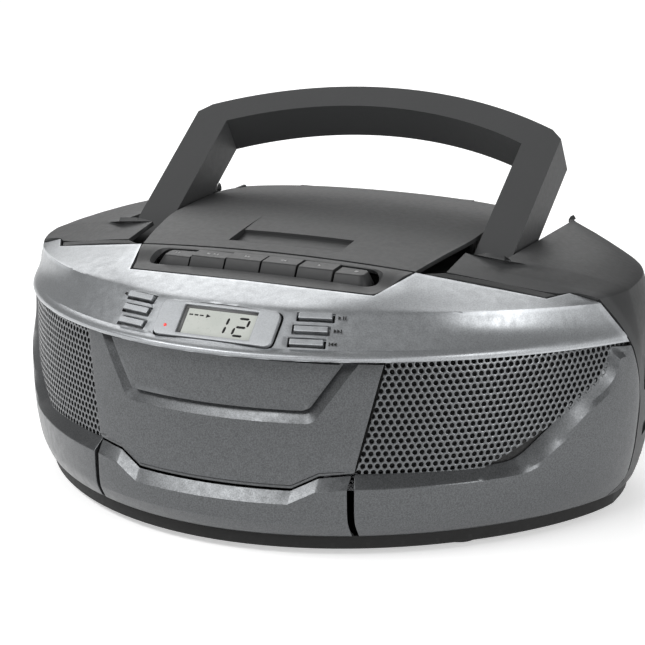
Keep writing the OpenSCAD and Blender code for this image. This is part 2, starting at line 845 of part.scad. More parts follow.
module battery_door() {
    color(CHARCOAL)
        shell([for (r = [0:3]) [for (c = [0:12])
            let (
                z = mix(BAY_Z0, BAY_Z1, r / 3),
                t0 = 90 + acos(pow(BAY_X / half_width(z), 1 / BACK_SPREAD)),
                t = mix(t0, 360 - t0, c / 12)
            )
            wall_point(t, z, 0)
        ]], 1.8);
}

// ---------- handle, pins and antenna ----------

module handle_plane() {
    translate([0, pivot_y, pivot_z])
        rotate([90 - handle_lean, 0, 0])
            children();
}
GRIP_T = 15.1;
// Distance from the pivot's middle to the small flats that blunt the handle's shoulders.
SHOULDER_CUT = 138.6;
INNER_RISE = 19.2;
LEG_END_R = 10.5;
HANDLE_PIN_R = 4;
module handle_outline() {
    inner_w = handle_w - leg_w;
    outer_r = (pow(handle_w, 2) + pow(grip_rise, 2)) / (2 * grip_rise);
    inner_r = (pow(inner_w, 2) + pow(INNER_RISE, 2)) / (2 * INNER_RISE);
    difference() {
        intersection() {
            translate([-handle_w, 0])
                square([2 * handle_w, leg_len + grip_rise]);
            translate([0, leg_len + grip_rise - outer_r])
                circle(r = outer_r, $fn = 200);
            rotate([0, 0, 45])
                square([2 * SHOULDER_CUT, 2 * SHOULDER_CUT], center = true);
        }
        intersection() {
            translate([-inner_w, -1])
                square([2 * inner_w, leg_len + grip_rise]);
            translate([0, leg_len + grip_rise - GRIP_T - inner_r])
                circle(r = inner_r, $fn = 200);
        }
    }
}
module handle() {
    color(CHARCOAL)
        handle_plane()
            difference() {
                union() {
                    translate([0, 0, -handle_d / 2])
                        linear_extrude(height = handle_d)
                            handle_outline();
                    for (sx = [-1, 1])
                        translate([sx * (handle_w - leg_w / 2) - leg_w / 2, 0, 0])
                            rotate([0, 90, 0])
                                cylinder(h = leg_w, r = LEG_END_R);
                }
                for (sx = [-1, 1])
                    translate([sx * (handle_w - leg_w / 2) - leg_w / 2 - 1, 0, 0])
                        rotate([0, 90, 0])
                            cylinder(h = leg_w + 2, r = HANDLE_PIN_R + FIT, $fn = 40);
            }
}
module hinge_pins() {
    color(STEEL)
        for (sx = [0, 1])
            mirror([sx, 0, 0]) {
                translate([DECK_W + 0.02, pivot_y, pivot_z])
                    rotate([0, 90, 0])
                        cylinder(h = SLOT_X + 0.36 - DECK_W, r = HANDLE_PIN_R, $fn = 40);
                translate([KNUCKLE_X - 7, LID_AXIS_Y, LID_AXIS_Z])
                    rotate([0, 90, 0])
                        cylinder(h = 18, r = PIN_R, $fn = 32);
                translate([KNUCKLE_X + 8, LID_AXIS_Y - 2.4, deck_z + 0.02])
                    cube([4, 4.8, LID_AXIS_Z - deck_z + 2]);
                translate([DOOR_EAR_X - 6, door_axis_y, door_axis_z])
                    rotate([0, 90, 0])
                        cylinder(h = 9, r = PIN_R, $fn = 32);
                translate([DOOR_EAR_X - 6, door_axis_y - 2.8, door_axis_z - 6])
                    cube([3, CHASSIS_Y - door_axis_y + 2.8, 12]);
            }
}
ANT_X = 92;
ANT_Y = 114.9;
ANT_Z = 93;
ANT_LEN = 150;
module antenna_mount() {
    color(BLACK)
        translate([ANT_X, ANT_Y, ANT_Z])
            difference() {
                union() {
                    translate([-6, -9.6, -4.8])
                        cube([13, 5.6, 9.6]);
                    translate([0, -4.4, 0])
                        rotate([-90, 0, 0])
                            cylinder(h = 5, r = 2, $fn = 32);
                }
                translate([0, -12, 0])
                    rotate([-90, 0, 0])
                        cylinder(h = 6, r = 1, $fn = 24);
            }
}
module antenna_tube() {
    color(STEEL)
        translate([ANT_X, ANT_Y, ANT_Z])
            difference() {
                union() {
                    translate([0, -3.6, 0])
                        rotate([-90, 0, 0])
                            cylinder(h = 7.2, r = 4.4, $fn = 40);
                    rotate([0, -90, 0])
                        cylinder(h = ANT_LEN, r = 3, $fn = 40);
                }
                translate([0, -5, 0])
                    rotate([-90, 0, 0])
                        cylinder(h = 6, r = 2 + FIT, $fn = 32);
                translate([-20, 0, 0])
                    rotate([0, -90, 0])
                        cylinder(h = ANT_LEN, r = 2 + FIT, $fn = 32);
            }
}
module antenna_rod() {
    color(STEEL)
        translate([ANT_X - 21, ANT_Y, ANT_Z])
            rotate([0, -90, 0]) {
                cylinder(h = ANT_LEN - 20, r = 2, $fn = 32);
                translate([0, 0, ANT_LEN - 20.8])
                    cylinder(h = 4.6, r = 3, $fn = 32);
            }
}
SCREWS = [[-120, -30], [120, -30], [-138, 50], [138, 50], [0, -95]];
module housing_screws() {
    color(STEEL)
        for (p = SCREWS)
            translate([p.x, p.y, 7])
                difference() {
                    union() {
                        cylinder(h = 2, r = 3.2, $fn = 32);
                        cylinder(h = 12, r = 1.4, $fn = 24);
                    }
                    translate([0, 0, -0.5])
                        cube([3.4, 0.8, 2], center = true);
                }
}

// ---------- side controls ----------

WHEEL_X = 150.6;
module control_housings() {
    color(BLACK)
        for (side = [0, 1])
            mirror([side, 0, 0]) {
                difference() {
                    translate([146, CONTROL_Y - 17, 34])
                        cube([8.6, 34, 54.6]);
                    translate([148, CONTROL_Y - 15, 54])
                        cube([20, 30, 33]);
                    translate([148, CONTROL_Y - 13, 36])
                        cube([20, 24, 7]);
                }
                translate([147.5, CONTROL_Y, CONTROL_Z])
                    rotate([0, 90, 0])
                        cylinder(h = 7, r = 2, $fn = 32);
            }
}
module control_wheel() {
    color("#2a2c2f")
        translate([WHEEL_X, CONTROL_Y, CONTROL_Z])
            rotate([0, 90, 0])
                difference() {
                    union() {
                        cylinder(h = 10, r = wheel_r - 0.8, $fn = 60);
                        for (k = [0:17])
                            rotate([0, 0, 20 * k])
                                translate([wheel_r - 1.4, -0.9, 0.8])
                                    cube([1.4, 1.8, 8.4]);
                    }
                    translate([0, 0, 8.6])
                        cylinder(h = 4, r = 8);
                    translate([0, 0, -1])
                        cylinder(h = 6, r = 2 + FIT, $fn = 32);
                }
}
module tuning_wheel() control_wheel();
module volume_wheel() mirror([1, 0, 0]) control_wheel();
module slider() {
    color("#2a2c2f")
        translate([149, CONTROL_Y - 5, 36.4])
            cube([11.6, 8, 6.2]);
}
module band_switch() slider();
module function_switch() mirror([1, 0, 0]) slider();

cabinet();
base_pan();
rubber_feet();
fascia();
bumper_center();
bumper_left();
bumper_right();
grille_left();
grille_right();
speaker_left();
speaker_right();
speaker_cones();
key_panel();
top_strips();
lcd_bezel();
lcd_glass();
cd_deck();
cd_mechanism();
cassette_chassis();
tape_head();
drive_motor();
main_board();
transformer();
ac_inlet();
battery_box();
hinge_pins();
housing_screws();
antenna_mount();
control_housings();
handle();
cd_lid();
disc_clamp();
cassette_door();
door_panel();
cassette_holder();
for (i = [0:keys - 1])
    cassette_key(i);
for (k = [0:5])
    cd_button(k);
tuning_wheel();
volume_wheel();
band_switch();
function_switch();
antenna_tube();
antenna_rod();
battery_door();
cd_spindle();
pickup_sled();
spool(-SPOOL_X);  // supply_spool
spool(SPOOL_X);  // takeup_spool
flywheel();
motor_pulley();
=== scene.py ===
import math

import bpy
import bmesh
from mathutils import Matrix, Vector, geometry


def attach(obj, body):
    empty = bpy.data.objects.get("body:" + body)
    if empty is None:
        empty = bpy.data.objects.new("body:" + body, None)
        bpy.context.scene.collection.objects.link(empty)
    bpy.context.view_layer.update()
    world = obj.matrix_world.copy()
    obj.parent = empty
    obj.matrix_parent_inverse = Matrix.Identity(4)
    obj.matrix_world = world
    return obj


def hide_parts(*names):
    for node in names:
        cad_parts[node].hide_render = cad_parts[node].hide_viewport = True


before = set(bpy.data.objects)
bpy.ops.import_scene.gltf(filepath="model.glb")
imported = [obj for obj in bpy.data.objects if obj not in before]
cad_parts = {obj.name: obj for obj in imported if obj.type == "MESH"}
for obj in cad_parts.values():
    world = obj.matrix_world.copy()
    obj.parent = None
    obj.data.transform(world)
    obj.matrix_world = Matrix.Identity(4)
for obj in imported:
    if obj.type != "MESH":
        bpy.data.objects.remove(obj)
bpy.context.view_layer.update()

# Lengths are written in millimetres and built in metres.
MM = 0.001


# ---------- curves and tables ----------

def mix(a, b, f):
    return a + (b - a) * f


def table(rows):
    """A function that joins (place, value) rows with straight lines."""
    def value(x):
        if x <= rows[0][0]:
            return rows[0][1]
        for (x0, y0), (x1, y1) in zip(rows, rows[1:]):
            if x <= x1:
                return mix(y0, y1, (x - x0) / (x1 - x0))
        return rows[-1][1]
    return value


def smooth_table(rows):
    """A smooth function through (place, value) rows that never passes beyond them."""
    xs = [row[0] for row in rows]
    ys = [row[1] for row in rows]
    gaps = [b - a for a, b in zip(xs, xs[1:])]
    slopes = [(b - a) / g for a, b, g in zip(ys, ys[1:], gaps)]
    bends = [slopes[0]]
    for s0, s1, g0, g1 in zip(slopes, slopes[1:], gaps, gaps[1:]):
        w0, w1 = 2 * g1 + g0, g1 + 2 * g0
        bends.append(0.0 if s0 * s1 <= 0 else (w0 + w1) / (w0 / s0 + w1 / s1))
    bends.append(slopes[-1])

    def value(x):
        if x <= xs[0]:
            return ys[0] + bends[0] * (x - xs[0])
        if x >= xs[-1]:
            return ys[-1] + bends[-1] * (x - xs[-1])
        i = max(k for k in range(len(gaps)) if xs[k] <= x)
        u = (x - xs[i]) / gaps[i]
        return (
            ys[i] * (1 + 2 * u) * (1 - u) ** 2
            + ys[i + 1] * u * u * (3 - 2 * u)
            + gaps[i] * u * (1 - u) * (bends[i] * (1 - u) - bends[i + 1] * u)
        )
    return value


def path(points):
    """A smooth curve through points, as a function of 0 to 1 along their chords."""
    places = [0.0]
    for a, b in zip(points, points[1:]):
        places.append(places[-1] + max(1e-6, (Vector(b) - Vector(a)).length))
    axes = [
        smooth_table([(p / places[-1], q[k]) for p, q in zip(places, points)])
        for k in range(len(points[0]))
    ]
    return lambda f: Vector([axis(f) for axis in axes])


def evenly(function, count, start=0.0, end=1.0, fine=400):
    """Places from start to end at which function's points are the same distance apart."""
    steps = [mix(start, end, k / fine) for k in range(fine + 1)]
    points = [Vector(function(s)) for s in steps]
    lengths = [0.0]
    for a, b in zip(points, points[1:]):
        lengths.append(lengths[-1] + (b - a).length)
    find = table(list(zip(lengths, steps)))
    return [find(lengths[-1] * k / count) for k in range(count + 1)]


# ---------- the housing's outline, as in the CAD model ----------

HALF_W, FRONT_D, BACK_D, WIDE_Y = 165, 135, 103, 16
FRONT_BEND, BACK_BEND, BACK_SPREAD = 1.38, 0.76, 2 / 3
SKIRT_Z = 10
half_width = smooth_table(
    [(3, 152), (10, 157), (22, 161), (36, 163.5), (60, 165), (82, 165), (95, 163), (111, 158)]
)
front_depth = smooth_table(
    [(3, 126), (10, 129), (20, 135), (27, 135), (34, 131.5), (42, 131), (70, 128.5), (92, 126.5), (111, 123)]
)
# The bumpers stand a little proud of the wall that the door and grilles follow.
bumper_depth = smooth_table(
    [(3, 126), (10, 129), (20, 134.6), (27, 135), (34, 134.9), (42, 134.2), (60, 132.2), (85, 129.4)]
)
back_depth = smooth_table(
    [(3, 96), (10, 98), (34, 102), (60, 103), (82, 103), (95, 102), (111, 99)]
)
seam = smooth_table([(8, 74), (21, 90), (56, 90), (85, 82), (89, 80.5), (111, 72)])
SEAM_HALF = 0.3


def outline(t, a, front, back):
    """Outline point at angle t: 0 is the front middle, 90 the right side, 180 the back."""
    s, c = math.sin(math.radians(t)), math.cos(math.radians(t))
    if c >= 0:
        return a * s, WIDE_Y - front * c ** FRONT_BEND
    return math.copysign(a * abs(s) ** BACK_SPREAD, s), WIDE_Y + back * (-c) ** BACK_BEND


def wall(t, z, inset=0.0, depth=front_depth):
    x, y = outline(t, half_width(z) - inset, depth(z) - inset, back_depth(z) - inset)
    return Vector((x, y, z))


def angle_at(x, z, inset=0.0):
    return math.degrees(math.asin(max(-1, min(1, x / (half_width(z) - inset)))))


def front(x, z, inset=0.0, depth=front_depth):
    return wall(angle_at(x, z, inset), z, inset, depth)


# ---------- mesh tools ----------

def mesh_piece(name, points, faces, body, slot, material, replaces=(), mirror=False):
    """A new piece from points in millimetres, riding on a body."""
    mesh = bpy.data.meshes.new(name)
    flip = -1 if mirror else 1
    mesh.from_pydata(
        [(p[0] * MM * flip, p[1] * MM, p[2] * MM) for p in points],
        [],
        [tuple(reversed(f)) for f in faces] if mirror else faces,
    )
    mesh.validate()
    mesh.materials.append(material)
    piece = bpy.data.objects.new(name, mesh)
    bpy.context.scene.collection.objects.link(piece)
    for polygon in mesh.polygons:
        polygon.use_smooth = True
    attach(piece, body)
    if replaces:
        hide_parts(*replaces)
    return piece


def grid(rows, closed=False):
    """Points and quads of a grid of rows; closed joins each row's end to its start."""
    width = len(rows[0])
    points = [p for row in rows for p in row]
    last = width if closed else width - 1
    faces = [
        (i * width + j, i * width + (j + 1) % width, (i + 1) * width + (j + 1) % width, (i + 1) * width + j)
        for i in range(len(rows) - 1)
        for j in range(last)
    ]
    return points, faces


def inside(p, loop):
    """True if the plane point lies within the closed loop."""
    found = False
    for (x0, y0), (x1, y1) in zip(loop, loop[1:] + loop[:1]):
        if (y0 > p[1]) != (y1 > p[1]) and p[0] < x0 + (p[1] - y0) * (x1 - x0) / (y1 - y0):
            found = not found
    return found


def distance(p, line, closed=True):
    """Distance from a plane point to a polyline."""
    ends = line[1:] + line[:1] if closed else line[1:]
    best = 1e9
    for (x0, y0), (x1, y1) in zip(line, ends):
        dx, dy = x1 - x0, y1 - y0
        f = ((p[0] - x0) * dx + (p[1] - y0) * dy) / max(1e-12, dx * dx + dy * dy)
        f = max(0.0, min(1.0, f))
        best = min(best, math.hypot(p[0] - x0 - f * dx, p[1] - y0 - f * dy))
    return best


def divided(line, step, closed=True):
    """The same polyline with points no further apart than step."""
    out = []
    ends = line[1:] + line[:1] if closed else line[1:]
    for a, b in zip(line, ends):
        count = max(1, math.ceil(math.dist(a, b) / step))
        out += [(mix(a[0], b[0], k / count), mix(a[1], b[1], k / count)) for k in range(count)]
    return out if closed else out + [line[-1]]


def rounded(corners, radii, steps=6):
    """A closed outline through corners, each rounded by its own radius."""
    out = []
    count = len(corners)
    for k, corner in enumerate(corners):
        radius = radii[k] if isinstance(radii, (list, tuple)) else radii
        here = Vector(corner)
        back = (Vector(corners[k - 1]) - here)
        ahead = (Vector(corners[(k + 1) % count]) - here)
        if radius <= 0:
            out.append(tuple(here))
            continue
        half = back.angle(ahead) / 2
        reach = min(radius / math.tan(half), 0.49 * back.length, 0.49 * ahead.length)
        start, end = here + back.normalized() * reach, here + ahead.normalized() * reach
        for i in range(steps + 1):
            f = i / steps
            out.append(tuple(start * (1 - f) ** 2 + here * 2 * f * (1 - f) + end * f * f))
    return out


def flat_mesh(loop, holes=(), lines=(), step=3.0):
    """Triangles that fill a plane loop, with edges along its holes and crease lines."""
    loop = divided(loop, step)
    holes = [divided(h, step) for h in holes]
    lines = [divided(l, step, closed=False) for l in lines]
    points, edges = [], []
    for line, closed in [(loop, True)] + [(h, True) for h in holes] + [(l, False) for l in lines]:
        first = len(points)
        points += line
        edges += [(first + k, first + k + 1) for k in range(len(line) - 1)]
        if closed:
            edges.append((first + len(line) - 1, first))
    xs, ys = [p[0] for p in loop], [p[1] for p in loop]
    rows = int((max(ys) - min(ys)) / (step * 0.87)) + 1
    for r in range(rows):
        y = min(ys) + (r + 0.5) * step * 0.87
        x = min(xs) + (0.5 if r % 2 else 0.0) * step
        while x < max(xs):
            p = (x, y)
            x += step
            if not inside(p, loop) or distance(p, loop) < 0.45 * step:
                continue
            if any(inside(p, h) or distance(p, h) < 0.45 * step for h in holes):
                continue
            if any(distance(p, l, closed=False) < 0.45 * step for l in lines):
                continue
            points.append(p)
    made = geometry.delaunay_2d_cdt([Vector(p) for p in points], edges, [], 0, 1e-5)
    out = [tuple(v) for v in made[0]]
    faces = []
    for face in made[2]:
        middle = tuple(sum(out[k][axis] for k in face) / len(face) for axis in (0, 1))
        if inside(middle, loop) and not any(inside(middle, h) for h in holes):
            faces.append(tuple(face))
    return out, faces


def crisp(piece, degrees=14):
    """Keeps edges sharper than this as sharp edges in the shading."""
    bm = bmesh.new()
    bm.from_mesh(piece.data)
    bmesh.ops.remove_doubles(bm, verts=bm.verts, dist=1e-6)
    loose = [v for v in bm.verts if not v.link_faces]
    bmesh.ops.delete(bm, geom=loose, context="VERTS")
    for edge in bm.edges:
        if len(edge.link_faces) == 2 and edge.calc_face_angle(0) > math.radians(degrees):
            edge.smooth = False
    bm.to_mesh(piece.data)
    bm.free()
    return piece


def thicken(piece, thickness):
    solid = piece.modifiers.new("wall", "SOLIDIFY")
    solid.thickness = thickness * MM
    solid.offset = -1
    return piece


def bevel(piece, width=0.35, segments=2, degrees=40):
    rim = piece.modifiers.new("edges", "BEVEL")
    rim.width = width * MM
    rim.segments = segments
    rim.limit_method = "ANGLE"
    rim.angle_limit = math.radians(degrees)
    rim.use_clamp_overlap = True
    even = piece.modifiers.new("normals", "WEIGHTED_NORMAL")
    even.keep_sharp = True
    return piece


def settle(piece):
    """Applies the piece's modifiers to its mesh."""
    graph = bpy.context.evaluated_depsgraph_get()
    mesh = bpy.data.meshes.new_from_object(piece.evaluated_get(graph))
    piece.modifiers.clear()
    old = piece.data
    piece.data = mesh
    bpy.data.meshes.remove(old)
    return piece


def cut(piece, cutters):
    """Cuts closed cutter meshes, given as (points, faces), out of the piece."""
    settle(piece)
    helpers = []
    for points, faces in cutters:
        mesh = bpy.data.meshes.new("cutter")
        mesh.from_pydata([tuple(c * MM for c in p) for p in points], [], faces)
        bm = bmesh.new()
        bm.from_mesh(mesh)
        bmesh.ops.recalc_face_normals(bm, faces=bm.faces)
        bm.to_mesh(mesh)
        bm.free()
        helper = bpy.data.objects.new("cutter", mesh)
        bpy.context.scene.collection.objects.link(helper)
        helpers.append(helper)
        taken = piece.modifiers.new("cut", "BOOLEAN")
        taken.operation = "DIFFERENCE"
        taken.solver = "FAST"
        taken.object = helper
    settle(piece)
    for helper in helpers:
        bpy.data.objects.remove(helper)
    for polygon in piece.data.polygons:
        polygon.use_smooth = True
    return piece


def prism(loop, low, high, place=None):
    """Closed points and faces of a plane loop drawn from low to high, then placed."""
    count = len(loop)
    points = [(x, y, low) for x, y in loop] + [(x, y, high) for x, y in loop]
    faces = [tuple(reversed(range(count))), tuple(range(count, 2 * count))]
    faces += [(k, (k + 1) % count, count + (k + 1) % count, count + k) for k in range(count)]
    if place:
        points = [tuple(place @ Vector(p)) for p in points]
    return points, faces


def box_loop(width, height, radius=0.0, x=0.0, y=0.0, steps=5):
    w, h = width / 2, height / 2
    corners = [(x - w, y - h), (x + w, y - h), (x + w, y + h), (x - w, y + h)]
    return rounded(corners, radius, steps) if radius else corners


def circle(radius, count=32, x=0.0, y=0.0, phase=0.0):
    turn = 2 * math.pi / count
    angles = [phase + k * turn for k in range(count)]
    return [(x + radius * math.cos(a), y + radius * math.sin(a)) for a in angles]


def lathe(profile, count=64, place=None):
    """Points and faces of a profile of (radius, height) turned about Z, then placed."""
    rows = []
    for radius, height in profile:
        rows.append([
            (radius * math.cos(2 * math.pi * k / count), radius * math.sin(2 * math.pi * k / count), height)
            for k in range(count)
        ])
    points, faces = grid(rows, closed=True)
    if place:
        points = [tuple(place @ Vector(p)) for p in points]
    return points, faces


def joined(parts):
    """Several (points, faces) as one."""
    points, faces = [], []
    for more, sides in parts:
        first = len(points)
        points += [tuple(p) for p in more]
        faces += [tuple(first + k for k in face) for face in sides]
    return points, faces


def moved(x=0.0, y=0.0, z=0.0, yaw=0.0, tilt=0.0):
    """Placement of the XY plane: tilted about X, turned about Z, then moved."""
    return (
        Matrix.Translation((x, y, z))
        @ Matrix.Rotation(math.radians(yaw), 4, "Z")
        @ Matrix.Rotation(math.radians(tilt), 4, "X")
    )


# ---------- materials ----------

class Finish:
    """A node material that starts from a Principled shader and the piece's own coordinates."""

    def __init__(self, name):
        self.material = bpy.data.materials.new(name)
        self.material.use_nodes = True
        self.nodes = self.material.node_tree.nodes
        self.links = self.material.node_tree.links
        self.shader = self.nodes["Principled BSDF"]
        self.place = self.nodes.new("ShaderNodeTexCoord").outputs["Object"]

    def set(self, **values):
        for key, value in values.items():
            self.shader.inputs[key.replace("_", " ")].default_value = value
        return self

    def noise(self, scale, detail=2.0, roughness=0.5):
        node = self.nodes.new("ShaderNodeTexNoise")
        node.inputs["Scale"].default_value = scale
        node.inputs["Detail"].default_value = detail
        node.inputs["Roughness"].default_value = roughness
        self.links.new(self.place, node.inputs["Vector"])
        return node.outputs["Fac"]

    def cells(self, scale, output="Color"):
        node = self.nodes.new("ShaderNodeTexVoronoi")
        node.inputs["Scale"].default_value = scale
        self.links.new(self.place, node.inputs["Vector"])
        return node.outputs[output]

    def span(self, value, low, high, start=0.3, end=0.7):
        """Maps a texture from its start-to-end range onto low to high."""
        node = self.nodes.new("ShaderNodeMapRange")
        for key, number in zip(("From Min", "From Max", "To Min", "To Max"), (start, end, low, high)):
            node.inputs[key].default_value = number
        self.links.new(value, node.inputs["Value"])
        return node.outputs["Result"]

    def tint(self, value, dark, light, start=0.3, end=0.7):
        """A colour between dark and light, driven by a texture."""
        node = self.nodes.new("ShaderNodeMix")
        node.data_type = "RGBA"
        node.inputs["A"].default_value = (*dark, 1)
        node.inputs["B"].default_value = (*light, 1)
        self.links.new(self.span(value, 0, 1, start, end), node.inputs["Factor"])
        return node.outputs["Result"]

    def blend(self, factor, colour, light):
        """Another colour over the first, where factor is high."""
        node = self.nodes.new("ShaderNodeMix")
        node.data_type = "RGBA"
        self.links.new(factor, node.inputs["Factor"])
        self.links.new(colour, node.inputs["A"])
        node.inputs["B"].default_value = (*light, 1)
        return node.outputs["Result"]

    def worn(self, colour, light, amount=0.5):
        """Lightens sharp convex edges, as handling does."""
        wear = self.nodes.new("ShaderNodeNewGeometry").outputs["Pointiness"]
        return self.blend(self.span(wear, 0, amount, 0.52, 0.6), colour, light)

    def use(self, socket, output):
        self.links.new(output, self.shader.inputs[socket])
        return self

    def bump(self, value, strength, depth):
        node = self.nodes.new("ShaderNodeBump")
        node.inputs["Strength"].default_value = strength
        node.inputs["Distance"].default_value = depth * MM
        self.links.new(value, node.inputs["Height"])
        previous = self.shader.inputs["Normal"]
        if previous.is_linked:
            self.links.new(previous.links[0].from_socket, node.inputs["Normal"])
        self.links.new(node.outputs["Normal"], previous)
        return self


def grey(value, warm=0.0):
    return value * (1 + warm), value, value * (1 - warm)


def paint(name, level, rough, metal=0.7, flake=0.25, tone=-0.035):
    """Metallic paint: fine flakes in its colour and gloss, and a faint orange peel."""
    f = Finish(name).set(Metallic=metal, Coat_Weight=0.12, Coat_Roughness=0.25)
    grain = f.noise(1500, 3, 0.7)
    colour = f.tint(grain, grey(level * (1 - flake), tone), grey(level * (1 + flake), tone), 0.36, 0.64)
    f.use("Base Color", f.worn(colour, grey(min(1, level * 1.8), tone), 0.35))
    f.use("Roughness", f.span(f.noise(260, 2), rough - 0.05, rough + 0.05))
    f.bump(f.cells(1400, "Distance"), 0.10, 0.05)
    f.bump(f.noise(160, 2), 0.05, 0.15)
    return f.material


def plastic(name, level, rough, grain=0.5, tone=0.0, scale=1100, wear=1.9):
    """Moulded plastic with a spark-eroded grain, uneven gloss and paler rubbed edges."""
    f = Finish(name)
    f.set(Specular_IOR_Level=0.32)
    patches = f.noise(38, 3)
    colour = f.tint(patches, grey(level * 0.93, tone), grey(level * 1.07, tone))
    f.use("Base Color", f.worn(colour, grey(min(1, level * wear), tone)))
    f.use("Roughness", f.span(f.noise(400, 3), rough - 0.03, rough + 0.03))
    f.bump(f.noise(scale, 3, 0.6), grain, 0.12)
    return f.material


def metal(name, colour, rough, brushed=True):
    """Bare metal with fine drawn lines and a few dull patches."""
    f = Finish(name).set(Metallic=1.0)
    if brushed:
        stretch = f.nodes.new("ShaderNodeMapping")
        stretch.inputs["Scale"].default_value = (0.04, 1, 1)
        f.links.new(f.place, stretch.inputs["Vector"])
        f.place = stretch.outputs["Vector"]
    lines = f.noise(1800, 2)
    f.use("Base Color", f.tint(lines, tuple(c * 0.82 for c in colour), colour))
    f.use("Roughness", f.span(f.noise(300, 3), rough - 0.06, rough + 0.1))
    f.bump(lines, 0.12, 0.04)
    return f.material


def rubber(name):
    f = Finish(name).set(Specular_IOR_Level=0.25)
    f.use("Base Color", f.tint(f.noise(120, 4), grey(0.012), grey(0.03)))
    f.use("Roughness", f.span(f.noise(400, 2), 0.72, 0.9))
    f.bump(f.noise(900, 4, 0.7), 0.5, 0.15)
    return f.material


def paper(name):
    """Pressed paper pulp, for the loudspeaker cones."""
    f = Finish(name).set(Sheen_Weight=0.15)
    f.use("Base Color", f.tint(f.noise(700, 5, 0.8), grey(0.012), grey(0.035)))
    f.use("Roughness", f.span(f.noise(200, 3), 0.8, 0.95))
    f.bump(f.noise(500, 5, 0.8), 0.7, 0.3)
    return f.material


def board(name):
    """Green lacquered circuit board with paler tracks."""
    f = Finish(name).set(Coat_Weight=0.5, Coat_Roughness=0.15)
    tracks = f.cells(180, "Distance")
    f.use("Base Color", f.tint(tracks, (0.02, 0.10, 0.035), (0.045, 0.19, 0.07), 0.25, 0.4))
    f.use("Roughness", f.span(f.noise(200, 2), 0.35, 0.55))
    f.bump(tracks, 0.4, 0.1)
    return f.material


def coil(name):
    """Wound copper wire and card."""
    f = Finish(name)
    bands = f.nodes.new("ShaderNodeTexWave")
    bands.inputs["Scale"].default_value = 260
    f.links.new(f.place, bands.inputs["Vector"])
    f.use("Base Color", f.tint(bands.outputs["Fac"], (0.16, 0.07, 0.03), (0.42, 0.20, 0.08), 0.2, 0.8))
    f.use("Roughness", f.span(f.noise(200, 2), 0.4, 0.6))
    f.bump(bands.outputs["Fac"], 0.6, 0.2)
    return f.material


def display(name):
    """Grey liquid-crystal panel behind clear film."""
    f = Finish(name).set(Coat_Weight=1.0, Coat_Roughness=0.05)
    f.use("Base Color", f.tint(f.noise(60, 2), (0.47, 0.50, 0.46), (0.56, 0.58, 0.54)))
    f.use("Roughness", f.span(f.noise(900, 2), 0.25, 0.4))
    f.bump(f.noise(2500, 1), 0.05, 0.02)
    return f.material


def ink(name, level):
    f = Finish(name).set(Specular_IOR_Level=0.3)
    f.use("Base Color", f.tint(f.noise(500, 3), grey(level * 0.8), grey(level * 1.2)))
    f.use("Roughness", f.span(f.noise(300, 2), 0.35, 0.55))
    f.bump(f.noise(1500, 2), 0.1, 0.03)
    return f.material


def lamp(name):
    """Red indicator window, faintly lit."""
    f = Finish(name).set(Emission_Color=(1.0, 0.04, 0.02, 1), Emission_Strength=0.5, Coat_Weight=0.6)
    f.use("Base Color", f.tint(f.noise(900, 2), (0.5, 0.01, 0.01), (0.8, 0.03, 0.02)))
    f.use("Roughness", f.span(f.noise(700, 2), 0.2, 0.35))
    f.bump(f.noise(1200, 2), 0.1, 0.03)
    return f.material


SILVER = paint("silver_paint", 0.38, 0.38, 0.85, 0.16)
DARK_SILVER = paint("dark_silver_paint", 0.115, 0.34, 0.85, 0.25)
BEZEL = paint("bezel_paint", 0.40, 0.42, 0.5, 0.08)
GRILLE = paint("grille_metal", 0.13, 0.32, 0.9, 0.1)
CHARCOAL = plastic("charcoal_plastic", 0.036, 0.5, 0.3, tone=-0.02)
# Grey for the painted shadow strips inside the display window, where the bezel's shadow falls.
SHADOW_GREY = plastic("painted_shadow_grey", 0.09, 0.5, 0.2)
BLACK = plastic("black_plastic", 0.006, 0.6, 0.4, wear=2.5)
DARK_KEY = plastic("key_plastic", 0.032, 0.46, 0.25, tone=-0.02)
RUBBER = rubber("rubber")
STEEL = metal("steel", (0.62, 0.63, 0.65), 0.28)
BRASS = metal("brass", (0.78, 0.58, 0.28), 0.3, brushed=False)
PAPER = paper("cone_paper")
BOARD = board("board_green")
WHITE = plastic("white_plastic", 0.6, 0.45, 0.2, wear=1.2)
WINDING = coil("winding")
GLASS = display("display_glass")
PRINT = ink("black_print", 0.012)
PALE_PRINT = ink("pale_print", 0.42)
RED = lamp("red_lamp")
SLOTS = {
    "silver_paint": SILVER, "dark_silver_paint": DARK_SILVER, "grille_metal": GRILLE,
    "charcoal_plastic": CHARCOAL, "black_plastic": BLACK, "rubber": RUBBER, "steel": STEEL,
    "brass": BRASS, "cone_paper": PAPER, "board_green": BOARD, "white_plastic": WHITE,
    "winding": WINDING, "display_glass": GLASS,
}


# ---------- front mouldings ----------

DOOR_LOW_W, DOOR_HIGH_W = 66, 76.5
door_low_z = table([(0, 33.6), (39.2, 33.6), (51.1, 39.8), (66.7, 41.4), (126, 41.6)])
LEDGE = 5.4
BUMPER_SIDE = 64.6
GAP = 2.8


def lip_z(x):
    return 95 - 6.5 * (x / 155) ** 2


def door_side(z):
    return mix(DOOR_LOW_W, DOOR_HIGH_W, (z - 41.4) / 52)


def ledge_inset(z, low, high):
    """How far the bumper's top band leans back between its lower and upper edges."""
    f = max(0.0, min(1.0, (z - low) / (high - low)))
    return f * (bumper_depth(high) - front_depth(high) + 0.9)


def spread(values, step):
    """The sorted values with more between them, no further apart than step."""
    out = [values[0]]
    for a, b in zip(values, values[1:]):
        count = max(1, math.ceil((b - a) / step))
        out += [mix(a, b, k / count) for k in range(1, count + 1)]
    return out


def skirt_roll(z):
    """The lower edge of the front mouldings tucks in."""
    return 1.4 * max(0.0, 1 - (z - SKIRT_Z) / 1.6) ** 2


